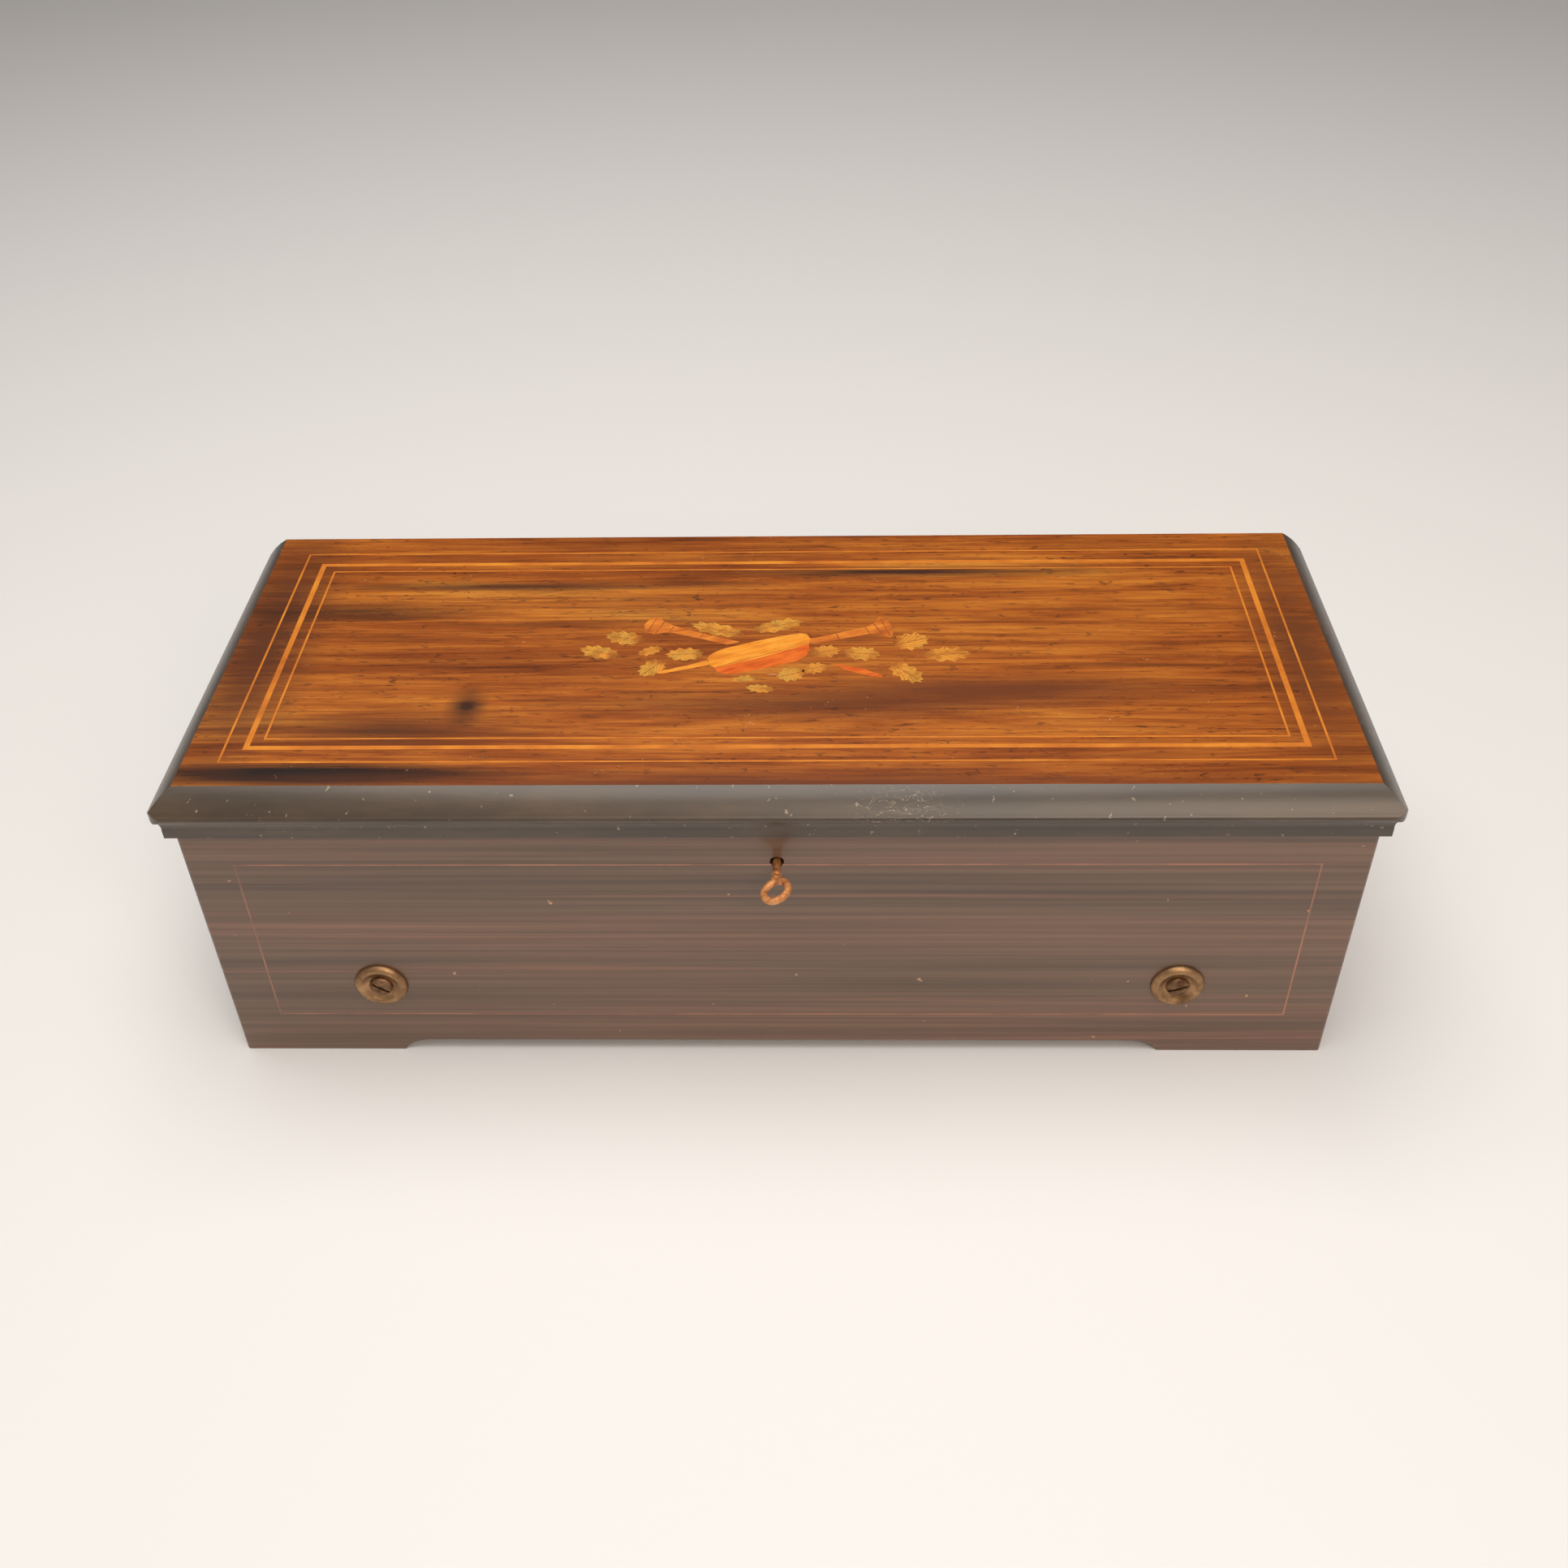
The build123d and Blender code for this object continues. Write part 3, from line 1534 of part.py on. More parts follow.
def control_lever(pivot, lift, inner_points):
    x, y = pivot
    z0 = control_height + lift
    z1 = z0 + control_thickness
    bar = block(x, control_reach, y - control_width / 2, y + control_width / 2, z0, z1)
    bar += rod_z(control_boss, z0, z1, x, y)
    bar += block(control_reach - control_thickness, control_reach, y - control_width / 2, y + control_width / 2,
                 z0, control_knob)
    bar += rod_x(knob_radius, control_reach - control_thickness, control_reach, y, control_knob)
    if inner_points:
        bar += plate_z([(x + a, y + b) for a, b in inner_points], z0, z1)
    return bar - bore_z(control_pin_radius + running_gap, z0 - 1, z1 + 1, x, y)


def stop_lever():
    """Start and stop lever: its inner arm ends in an upright finger beside the fan."""
    finger_y = worm_y - fan_reach - 1.5
    reach_x = worm_x - stop_pivot[0]
    reach_y = finger_y - stop_pivot[1]
    arm = [(-3, 0), (3, 0), (reach_x + 1.5, reach_y), (reach_x - 1.5, reach_y)]
    lever = control_lever(stop_pivot, 0, arm)
    lever += block(
        worm_x - 1.5,
        worm_x + 1.5,
        finger_y - 1.2,
        finger_y,
        control_height,
        fan_bottom + fan_height / 2,
    )
    return lever


def change_lever():
    """Change and repeat lever: its short inner arm ends beside the star wheel's path."""
    return control_lever(change_pivot, change_lift, [(0, -3), (0, 3), (-20, 2), (-20, -2)])


def control_studs():
    studs = []
    for pivot, lift in ((stop_pivot, 0), (change_pivot, change_lift)):
        x, y = pivot
        seat = control_height + lift
        top = seat + control_thickness + end_gap
        base = rod_z(control_boss, bed_top, seat - end_gap, x, y)
        stem = rod_z(control_pin_radius, seat - 1, top, x, y)
        head = rod_z(control_width / 2, top, top + stud_head, x, y)
        studs.append(base + stem + head)
    return group(studs)


save(stop_lever(), "start_stop_lever")
save(change_lever(), "change_repeat_lever")
save(control_studs(), "control_studs")
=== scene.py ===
import random
from math import cos, pi, radians, sin

import bpy
from mathutils import Matrix, Vector


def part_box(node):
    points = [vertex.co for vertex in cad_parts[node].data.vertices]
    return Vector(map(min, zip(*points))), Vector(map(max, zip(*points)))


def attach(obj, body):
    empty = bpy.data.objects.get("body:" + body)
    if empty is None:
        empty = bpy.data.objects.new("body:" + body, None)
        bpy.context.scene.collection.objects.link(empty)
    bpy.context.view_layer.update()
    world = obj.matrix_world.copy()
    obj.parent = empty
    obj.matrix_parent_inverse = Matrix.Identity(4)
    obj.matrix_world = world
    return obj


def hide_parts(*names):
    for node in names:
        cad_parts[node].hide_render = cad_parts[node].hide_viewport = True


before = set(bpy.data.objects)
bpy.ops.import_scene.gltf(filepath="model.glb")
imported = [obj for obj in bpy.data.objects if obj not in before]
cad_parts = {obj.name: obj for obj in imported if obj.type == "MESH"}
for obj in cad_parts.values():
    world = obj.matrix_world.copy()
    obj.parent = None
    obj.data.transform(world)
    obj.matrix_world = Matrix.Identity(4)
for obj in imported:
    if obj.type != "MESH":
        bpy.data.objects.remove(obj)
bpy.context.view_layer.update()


# Case boards: boards of dark grained and varnished wood, joined at the corners.
# The varnish is glossy and old, with thin red-brown streaks along the grain and small chips.


def linear(code):
    """Linear colour of an sRGB hex value."""
    values = [int(code[i : i + 2], 16) / 255 for i in (1, 3, 5)]
    return tuple(v / 12.92 if v <= 0.04045 else ((v + 0.055) / 1.055) ** 2.4 for v in values) + (1.0,)


def add(tree, kind, settings=None, links=None, out=0, feeds=None):
    """Adds one node and gives back one of its outputs, which may feed a socket further on. Settings name its
    properties, inputs or ramp stops, and links give its inputs their sources."""
    made = tree.nodes.new("ShaderNode" + kind)
    for key, value in (settings or {}).items():
        if key == "stops":
            ramp = made.color_ramp.elements
            ramp[0].position, ramp[1].position = value[0][0], value[-1][0]
            for place, _ in value[1:-1]:
                ramp.new(place)
            for stop, (_, code) in zip(ramp, value):
                stop.color = linear(code)
        elif isinstance(key, str) and hasattr(made, key):
            setattr(made, key, value)
        else:
            made.inputs[key].default_value = linear(value) if isinstance(value, str) else value
    for key, source in (links or {}).items():
        tree.links.new(source, made.inputs[key])
    if feeds:
        tree.links.new(made.outputs[out], feeds)
    return made.outputs[out]


def surface(name, **settings):
    """A material, its tree, its shader and the Object coordinates of the piece that wears it."""
    made = bpy.data.materials.new(name)
    made.use_nodes = True
    tree = made.node_tree
    shader = tree.nodes["Principled BSDF"]
    for key, value in settings.items():
        value = linear(value) if isinstance(value, str) else value
        shader.inputs[key.replace("_", " ")].default_value = value
    return made, tree, shader, add(tree, "TexCoord", out="Object")


def streaks(tree, place, sizes, detail=5.0, roughness=0.6, distortion=0.0):
    """Clouds or streaks of a real size: one size in millimetres all round, or one along each axis."""
    sizes = sizes if isinstance(sizes, tuple) else (sizes,) * 3
    spread = add(tree, "Mapping", {"Scale": tuple(1000 / size for size in sizes)}, {"Vector": place})
    settings = {"Scale": 1.0, "Detail": detail, "Roughness": roughness, "Distortion": distortion}
    return add(tree, "TexNoise", settings, {"Vector": spread})


def darkened(tree, tone, amount, pattern, stops):
    """A tone multiplied by the shades that a pattern takes between its stops."""
    shades = add(tree, "ValToRGB", {"stops": stops}, {"Fac": pattern})
    settings = {"data_type": "RGBA", "blend_type": "MULTIPLY", 0: amount}
    return add(tree, "Mix", settings, {6: tone, 7: shades}, 2)


def dress(finish, *names):
    """Puts a finish on nodes of the frame."""
    for name in names:
        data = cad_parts[name].data
        data.materials.clear()
        data.materials.append(finish)


def grained_wood(name, along):
    """Dark grained wood under varnish: the streaks run along X or Y, are 2 to 22 mm wide, and show red hairs."""
    finish, tree, shader, place = surface(name, Roughness=0.42, Coat_Weight=0.55, Coat_Roughness=0.16)

    def stretched(length, width):
        return (length, width, width) if along == "X" else (width, length, width)

    browns = [(0.3, "#5c4433"), (0.45, "#69503c"), (0.6, "#785743"), (0.75, "#624835")]
    broad = streaks(tree, place, stretched(500, 22), 4.0, 0.55, 0.2)
    tone = add(tree, "ValToRGB", {"stops": browns}, {"Fac": broad})
    hairs = streaks(tree, place, stretched(350, 2.2), 6.0, 0.6)
    tone = darkened(tree, tone, 0.55, hairs, [(0.38, "#a89a90"), (0.6, "#ffffff")])
    red = streaks(tree, place, stretched(600, 7), 3.0, 0.5)
    red_stops = [(0.6, "#000000"), (0.66, "#b0b0b0"), (0.7, "#000000")]
    red_hair = add(tree, "ValToRGB", {"stops": red_stops}, {"Fac": red})
    tone = add(tree, "Mix", {"data_type": "RGBA", 7: "#94604a"}, {0: red_hair, 6: tone}, 2)
    dust = streaks(tree, place, 5.263, 2.0, 0.5)
    chips = add(tree, "ValToRGB", {"stops": [(0.735, "#000000"), (0.76, "#ffffff")]}, {"Fac": dust})
    colour = shader.inputs["Base Color"]
    add(tree, "Mix", {"data_type": "RGBA", 7: "#b88a64"}, {0: chips, 6: tone}, 2, colour)
    add(tree, "Bump", {"Strength": 0.5, "Distance": 0.00012}, {"Height": hairs}, feeds=shader.inputs["Normal"])
    return finish


dress(grained_wood("grained_board", "X"), "case_front", "case_back")
dress(grained_wood("grained_end_board", "Y"), "case_left_end", "case_right_end")


# Line inlay of the case front: a thin reddish wooden string let into the front face as one rectangle.
# It is flush and worn, so it stands only a hair proud of the varnish.


def settle(piece, name, body, finish, smooth=35):
    """Names a finished piece, leaves its place in its mesh, and seats it on its body."""
    piece.name = name
    piece.data.name = name
    bpy.ops.object.select_all(action="DESELECT")
    piece.select_set(True)
    bpy.context.view_layer.objects.active = piece
    bpy.ops.object.transform_apply(location=True, rotation=True, scale=True)
    bpy.ops.object.shade_smooth_by_angle(angle=radians(smooth))
    piece.data.materials.clear()
    piece.data.materials.append(finish)
    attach(piece, body)
    return piece


def flat_frame(centre, size, width, rotation, rise):
    """A rectangular frame of strip, inset from a plane and extruded along its normal."""
    bpy.ops.object.select_all(action="DESELECT")
    bpy.ops.mesh.primitive_plane_add(size=1, rotation=rotation, location=Vector(centre) / 1000)
    piece = bpy.context.object
    piece.scale = (size[0] / 1000, size[1] / 1000, 1)
    bpy.ops.object.transform_apply(location=True, rotation=True, scale=True)
    bpy.ops.object.mode_set(mode="EDIT")
    bpy.ops.mesh.inset(thickness=width / 1000, use_boundary=True)
    bpy.ops.mesh.delete(type="FACE")
    bpy.ops.mesh.select_all(action="SELECT")
    bpy.ops.mesh.extrude_region_move(TRANSFORM_OT_translate={"value": Vector(rise) / 1000})
    bpy.ops.mesh.select_all(action="SELECT")
    bpy.ops.mesh.normals_make_consistent(inside=False)
    bpy.ops.object.mode_set(mode="OBJECT")
    return piece


def block(low, high, edge=0.0):
    """A squared bar between two corners, with its edges eased by a small bevel."""
    low, high = Vector(low) / 1000, Vector(high) / 1000
    bpy.ops.object.select_all(action="DESELECT")
    bpy.ops.mesh.primitive_cube_add(size=1, location=(low + high) / 2)
    piece = bpy.context.object
    piece.scale = high - low
    bpy.ops.object.transform_apply(location=True, rotation=True, scale=True)
    if edge:
        bpy.ops.object.mode_set(mode="EDIT")
        bpy.ops.mesh.select_all(action="SELECT")
        bpy.ops.mesh.bevel(offset=edge / 1000, segments=2)
        bpy.ops.object.mode_set(mode="OBJECT")
    return piece


def cut(piece, tool):
    """Cuts a tool out of a piece and throws the tool away."""
    change = piece.modifiers.new("cut", "BOOLEAN")
    change.operation = "DIFFERENCE"
    change.object = tool
    change.solver = "EXACT"
    bpy.ops.object.select_all(action="DESELECT")
    piece.select_set(True)
    bpy.context.view_layer.objects.active = piece
    bpy.ops.object.modifier_apply(modifier=change.name)
    bpy.data.objects.remove(tool)
    return piece


front_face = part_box("case_front")[0].y * 1000
lock_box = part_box("lock_case")
key_x = (lock_box[0].x + lock_box[1].x) * 500
key_z = lock_box[0].z * 1000 + 10.0
string_middle, string_size, string_width, string_rise = 68.0, (440.4, 89.8), 0.7, 0.03

# Maple string gone pinkish brown under old varnish: worn paler in patches.
string, tree, shader, place = surface("front_stringing", Roughness=0.4, Coat_Weight=0.5, Coat_Roughness=0.2)
worn = streaks(tree, place, 33.333, 4.0)
stops = [(0.35, "#7a5040"), (0.6, "#a86f52")]
add(tree, "ValToRGB", {"stops": stops}, {"Fac": worn}, feeds=shader.inputs["Base Color"])
line_centre, line_rise = (0, front_face, string_middle), (0, -string_rise, 0)
front_line = flat_frame(line_centre, string_size, string_width, (pi / 2, 0, 0), line_rise)
keyhole_gap = block((key_x - 2.1, front_face - 1, key_z - 3), (key_x + 2.1, front_face + 1, key_z + 1))
settle(cut(front_line, keyhole_gap), "front_stringing", "case", string)


# Inner woodwork: base board, the two partitions, the ledges under the glass lid and the bedplate's blocks.
# Plain pine and beech, stained red-brown and never polished, so it is matt with an open grain.


def stained_wood(name, light, dark, along):
    """Stained softwood: grain bands 4 mm apart along X or Y, matt."""
    finish, tree, shader, place = surface(name, Roughness=0.62)
    length, width = 160, 4
    sizes = (length, width, width) if along == "X" else (width, length, width)
    grain = streaks(tree, place, sizes, 5.0, 0.6, 0.4)
    tone = add(tree, "ValToRGB", {"stops": [(0.35, dark), (0.65, light)]}, {"Fac": grain})
    blotches = streaks(tree, place, 55.556, 3.0)
    tone = darkened(tree, tone, 0.5, blotches, [(0.3, "#a89c90"), (0.6, "#ffffff")])
    tree.links.new(tone, shader.inputs["Base Color"])
    add(tree, "Bump", {"Strength": 0.6, "Distance": 0.0001}, {"Height": grain}, feeds=shader.inputs["Normal"])
    return finish


pine = stained_wood("stained_pine", "#8a5530", "#5c3419", "X")
dress(pine, "base_board", "glass_lid_ledges", "bedplate_blocks")
cross_pine = stained_wood("stained_pine_across", "#8a5530", "#5c3419", "Y")
dress(cross_pine, "lever_partition", "control_partition")


# Cup washers and movement screws: dished brass washers pressed from sheet, with a rolled rim, and the
# slotted steel screws that pass through the boards into the bedplate. Both are dulled brown with age.


def turned(profile, centre, axis, sides=64):
    """A lathe-turned piece: its half outline is drawn by extruding one vertex, then spun about the axis."""
    axis = Vector(axis)
    centre = Vector(centre) / 1000
    across = axis.orthogonal().normalized()
    points = [centre + (axis * along + across * radius) / 1000 for along, radius in profile]
    bpy.ops.object.select_all(action="DESELECT")
    bpy.ops.mesh.primitive_plane_add(size=0.001, location=points[0])
    piece = bpy.context.object
    bpy.ops.object.mode_set(mode="EDIT")
    bpy.ops.mesh.select_mode(type="VERT")
    bpy.ops.mesh.merge(type="CENTER")
    for a, b in zip(points, points[1:]):
        bpy.ops.mesh.extrude_region_move(TRANSFORM_OT_translate={"value": b - a})
    bpy.ops.mesh.select_all(action="SELECT")
    bpy.ops.mesh.spin(steps=sides, angle=2 * pi, center=centre, axis=axis)
    bpy.ops.mesh.select_all(action="SELECT")
    bpy.ops.mesh.remove_doubles(threshold=0.000001)
    bpy.ops.mesh.normals_make_consistent(inside=False)
    bpy.ops.object.mode_set(mode="OBJECT")
    return piece


def joined(pieces):
    """Joins pieces into the first of them."""
    bpy.ops.object.select_all(action="DESELECT")
    for piece in pieces:
        piece.select_set(True)
    bpy.context.view_layer.objects.active = pieces[0]
    bpy.ops.object.join()
    return pieces[0]


def copied(piece, place):
    """A copy of a piece, with its own mesh, moved by a matrix."""
    made = piece.copy()
    made.data = piece.data.copy()
    made.matrix_world = place @ piece.matrix_basis
    bpy.context.collection.objects.link(made)
    return made


def at(*place):
    """The matrix of a place in millimetres."""
    return Matrix.Translation(Vector(place) / 1000)


def metal(name, bright, dull, roughness, patina=22.222):
    """Metal with a cloudy patina of a real size: dull in the hollows, brighter and glossier where it is rubbed."""
    finish, tree, shader, place = surface(name, Metallic=1.0, Roughness=roughness)
    clouds = streaks(tree, place, patina, 7.0, 0.65)
    stops = [(0.35, dull), (0.65, bright)]
    add(tree, "ValToRGB", {"stops": stops}, {"Fac": clouds}, feeds=shader.inputs["Base Color"])
    gloss = {"To Min": roughness + 0.16, "To Max": roughness - 0.06}
    add(tree, "MapRange", gloss, {0: clouds}, feeds=shader.inputs["Roughness"])
    fine = streaks(tree, place, 1.1111, 3.0)
    add(tree, "Bump", {"Strength": 0.5, "Distance": 0.00003}, {"Height": fine}, feeds=shader.inputs["Normal"])
    return finish


# Brass and steel browned by a century of handling: a low, cloudy shine.
old_brass = metal("tarnished_brass", "#b8916a", "#7a5c40", 0.42, 7.6923)
brown_steel = metal("browned_steel", "#9a785a", "#5a3e2c", 0.5, 3.8462)
washer_radius = 11.5
washer_outline = [
    (0, 2.6), (0, 11.2), (0.35, washer_radius), (0.9, 11.45), (1.5, 11.1), (2.1, 10.5), (2.5, 9.7), (2.6, 9.1),
    (2.45, 8.5), (2.0, 7.9), (1.45, 7.2), (1.05, 6.5), (0.85, 5.9), (0.8, 5.3), (0.8, 2.6), (0, 2.6),
]
screw_outline = [
    (-26.0, 0), (-26.0, 2.4), (0.8, 2.4), (0.8, 5.0), (1.7, 5.0), (2.4, 4.5), (2.8, 3.3), (2.9, 1.8), (2.95, 0),
]
slot_reach, slot_width, slot_floor, slot_mouth = 6.0, 1.2, 1.9, 3.4
washer_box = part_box("cup_washers")
screw_x = washer_box[1].x * 1000 - washer_radius
screw_z = (washer_box[0].z + washer_box[1].z) * 500
back_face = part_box("case_back")[1].y * 1000
first_washer = turned(washer_outline, (0, 0, 0), (0, -1, 0))
first_screw = turned(screw_outline, (0, 0, 0), (0, -1, 0), 48)
first_slot = block((-slot_reach, -slot_mouth, -slot_width / 2), (slot_reach, -slot_floor, slot_width / 2))
washers, screws = [], []
for x, slot_turn in ((-screw_x, 35), (screw_x, -20)):
    for y, facing in ((front_face, 0), (back_face, pi)):
        seat, turned_out = at(x, y, screw_z), Matrix.Rotation(facing, 4, "Z")
        washers.append(copied(first_washer, seat @ turned_out))
        slot = copied(first_slot, seat @ Matrix.Rotation(radians(slot_turn), 4, "Y") @ turned_out)
        screws.append(cut(copied(first_screw, seat @ turned_out), slot))
for first in (first_washer, first_screw, first_slot):
    bpy.data.objects.remove(first)
washer_set = settle(joined(washers), "cup_washers_pressed", "case", old_brass)
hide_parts("cup_washers")
screw_set = settle(joined(screws), "movement_screws_turned", "case", brown_steel)
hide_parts("movement_screws")


# Hinges, lock and link plate: rolled brass butts, and a steel lock with brass plates screwed to the wood.
# The brass is dull yellow-brown, the lock case dark grey.

# Lacquered brass keeps its yellow and shines softly; ground steel is bright grey; the lock's steel is dull.
lacquered_brass = metal("lacquered_brass", "#c4a061", "#a07c46", 0.32, 33.333)
ground_steel = metal("ground_steel", "#b4b3b0", "#7b7873", 0.28, 16.667)
dark_steel = metal("dark_steel", "#6d6a66", "#43403c", 0.42, 11.111)
dress(old_brass, "hinge_case_leaves", "hinge_lid_leaves", "lock_top_plate", "link_plate")
dress(dark_steel, "lock_case")
dress(ground_steel, "hinge_pins", "lock_bolt")


# Bedplate, comb base and posts: the bedplate is cast iron, ground flat and painted with a silver-grey varnish.
# The posts are brass castings, filed and lacquered.

# Sand-cast iron under thin paint: grey, matt and pebbled.
cast_iron, tree, shader, place = surface("painted_cast_iron", Metallic=0.55, Roughness=0.5)
sand = streaks(tree, place, 2.381, 4.0, 0.7)
stops = [(0.3, "#6f6a60"), (0.7, "#969084")]
add(tree, "ValToRGB", {"stops": stops}, {"Fac": sand}, feeds=shader.inputs["Base Color"])
add(tree, "Bump", {"Strength": 0.6, "Distance": 0.00015}, {"Height": sand}, feeds=shader.inputs["Normal"])
dress(cast_iron, "bedplate", "comb_base")
dress(lacquered_brass, "left_arbor_post", "right_arbor_post", "barrel_posts")


# Cylinder: a turned brass tube with end caps, set with some thousands of fine steel pins, one ring of them
# for each tooth of the comb. The arbor and its two wheels are steel and brass.

drum_low, drum_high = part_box("cylinder_drum")
pins_box, arbor_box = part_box("cylinder_pins"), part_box("cylinder_arbor")
axis_y = (pins_box[0].y + pins_box[1].y) * 500
axis_z = (arbor_box[0].z + arbor_box[1].z) * 500
follower_length, follower_radius, follower_place = 4.0, 1.0, 9.0
drum_left, drum_right = drum_low.x * 1000, drum_high.x * 1000 - follower_length
drum_length = drum_right - drum_left
drum_outline = [
    (0, 3.05), (0, 24.0), (-0.5, 24.4), (-0.5, 25.9), (0, 26.5), (drum_length, 26.5), (drum_length + 0.5, 25.9),
    (drum_length + 0.5, 24.4), (drum_length, 24.0), (drum_length, 3.05), (0, 3.05),
]
follower_outline = [(0, 0), (0, follower_radius), (follower_length, follower_radius), (follower_length, 0)]

# Brass turned in a lathe: fine rings round it, 0.7 mm apart so that they show.
turned_brass, tree, shader, place = surface("turned_brass", Metallic=1.0, Roughness=0.3, Anisotropic=0.4)
rings = streaks(tree, place, (0.71429, 125, 125), 2.0)
stops = [(0.3, "#b08c4e"), (0.7, "#c4a060")]
add(tree, "ValToRGB", {"stops": stops}, {"Fac": rings}, feeds=shader.inputs["Base Color"])
add(tree, "Bump", {"Strength": 0.4, "Distance": 0.00002}, {"Height": rings}, feeds=shader.inputs["Normal"])
drum = turned(drum_outline, (drum_left, axis_y, axis_z), (1, 0, 0), 128)
follower = turned(follower_outline, (drum_right, axis_y, axis_z + follower_place), (1, 0, 0), 16)
drum = settle(joined([drum, follower]), "cylinder_drum_turned", "cylinder", turned_brass)
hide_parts("cylinder_drum")

bpy.ops.object.select_all(action="DESELECT")
bpy.ops.mesh.primitive_cone_add(
    vertices=4, radius1=0.00024, radius2=0.0002, depth=0.0014, end_fill_type="NGON"
)
first_pin = bpy.context.object
chance = random.Random(8)
comb_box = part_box("comb")
tooth_count, tooth_pitch, pins_to_a_ring, pin_reach = 70, 3.0, 36, 26.9
tune_shifts = (-0.6, -0.3, 0.0, 0.3, 0.6)
tooth_left = comb_box[0].x * 1000 + tooth_pitch
pin_set = []
for tooth in range(tooth_count):
    for step in range(pins_to_a_ring):
        angle = 2 * pi * (step + chance.uniform(0.05, 0.95)) / pins_to_a_ring
        ring_x = tooth_left + tooth_pitch * tooth + chance.choice(tune_shifts)
        seat = at(ring_x, axis_y + pin_reach * sin(angle), axis_z + pin_reach * cos(angle))
        pin_set.append(copied(first_pin, seat @ Matrix.Rotation(-angle, 4, "X")))
bpy.data.objects.remove(first_pin)
pin_set = settle(joined(pin_set), "cylinder_pins_set", "cylinder", ground_steel)
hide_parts("cylinder_pins")
dress(ground_steel, "cylinder_arbor", "tune_snail")
dress(lacquered_brass, "great_wheel", "drive_wheel")


# Comb: one hardened steel plate with sawn teeth, ground bright, on its cast base with slotted round-head screws.

# Steel ground on a stone: bright, with fine marks 0.7 mm apart across the teeth.
bright_steel, tree, shader, place = surface("ground_comb_steel", Metallic=1.0, Roughness=0.24)
marks = streaks(tree, place, (25, 0.66667, 25), 3.0)
stops = [(0.3, "#9c9b98"), (0.7, "#c6c5c1")]
add(tree, "ValToRGB", {"stops": stops}, {"Fac": marks}, feeds=shader.inputs["Base Color"])
add(tree, "Bump", {"Strength": 0.4, "Distance": 0.00002}, {"Height": marks}, feeds=shader.inputs["Normal"])
dress(bright_steel, "comb")
comb_top = comb_box[1].z * 1000
head_count, head_radius, head_slot = 6, 3.0, 0.8
head_outline = [(0, 0), (0, head_radius), (1.0, head_radius), (1.5, 2.5), (1.75, 1.4), (1.8, 0)]
heads_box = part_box("comb_screws")
first_head = heads_box[0].x * 1000 + head_radius
last_head = heads_box[1].x * 1000 - head_radius
head_y = (heads_box[0].y + heads_box[1].y) * 500
head_pitch = (last_head - first_head) / (head_count - 1)
slot_low = (first_head - 4, head_y - head_slot / 2, comb_top + 1.0)
slot_high = (first_head + 4, head_y + head_slot / 2, comb_top + 2.4)
head = cut(turned(head_outline, (first_head, head_y, comb_top), (0, 0, 1), 32), block(slot_low, slot_high))
screw_heads = [head] + [copied(head, at(head_pitch * i, 0, 0)) for i in range(1, head_count)]
comb_heads = settle(joined(screw_heads), "comb_screws_turned", "case", ground_steel)
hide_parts("comb_screws")


# Spring barrel and winding: a turned brass barrel that holds the mainspring, a steel arbor with its ratchet wheel
# and click, and the winding lever with a turned and blackened wooden grip.

barrel_low, barrel_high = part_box("spring_barrel")
barrel_y = (barrel_low.y + barrel_high.y) * 500
barrel_z = (barrel_low.z + barrel_high.z) * 500
barrel_length = (barrel_high.x - barrel_low.x) * 1000
barrel_outline = [
    (0, 3.55), (0, 9.0), (0, 24.5), (0.4, 25.0), (0.4, 27.2), (0, 27.6), (0.4, 28.0), (2.0, 28.0), (2.2, 27.4),
    (3.8, 27.4), (4.0, 28.0), (barrel_length - 0.4, 28.0), (barrel_length, 27.6), (barrel_length, 3.55), (0, 3.55),
]
barrel = turned(barrel_outline, (barrel_low.x * 1000, barrel_y, barrel_z), (1, 0, 0), 128)
barrel = settle(barrel, "spring_barrel_turned", "spring_barrel", turned_brass)
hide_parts("spring_barrel")
dress(lacquered_brass, "barrel_wheel")
dress(ground_steel, "winding_arbor", "ratchet_wheel", "click", "click_bracket", "winding_lever")

# Beech turned and stained black: almost black, with brown fibres along its length and a worn polish.
blackwood, tree, shader, place = surface(
    "blackened_turned_wood", Roughness=0.4, Coat_Weight=0.4, Coat_Roughness=0.2
)
fibres = streaks(tree, place, (3.3333, 3.3333, 33.333), 5.0)
stops = [(0.35, "#1d120c"), (0.65, "#3a2416")]
add(tree, "ValToRGB", {"stops": stops}, {"Fac": fibres}, feeds=shader.inputs["Base Color"])
lever_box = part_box("winding_lever")
lever_x = (lever_box[0].x + lever_box[1].x) * 500
grip_tilt, grip_from_arbor = radians(-15), 64.0
along = Vector((0, cos(grip_tilt), sin(grip_tilt)))
grip_start = Vector((lever_x, barrel_y, barrel_z)) + along * grip_from_arbor
grip_outline = [
    (0, 2.0), (0, 4.2), (1.5, 5.0), (4.0, 5.3), (6.0, 4.9), (7.5, 4.6), (12.0, 5.6), (20.0, 6.8), (28.0, 6.95),
    (35.0, 6.4), (40.0, 5.3), (43.0, 3.6), (44.0, 0),
]
grip = turned(grip_outline, grip_start, along, 48)
grip = settle(grip, "lever_grip_turned", "winding_lever", blackwood)
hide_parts("lever_grip")


# Governor: a brass cage with steel arbors, a worm and a folded brass fan that brakes on the air.
# The control levers are flat steel, with studs screwed into the bedplate.

dress(lacquered_brass, "governor_cage", "governor_cock", "governor_first_wheel", "governor_second_wheel")
dress(lacquered_brass, "governor_fan")
dress(ground_steel, "endless_screw", "start_stop_lever", "change_repeat_lever", "control_studs")


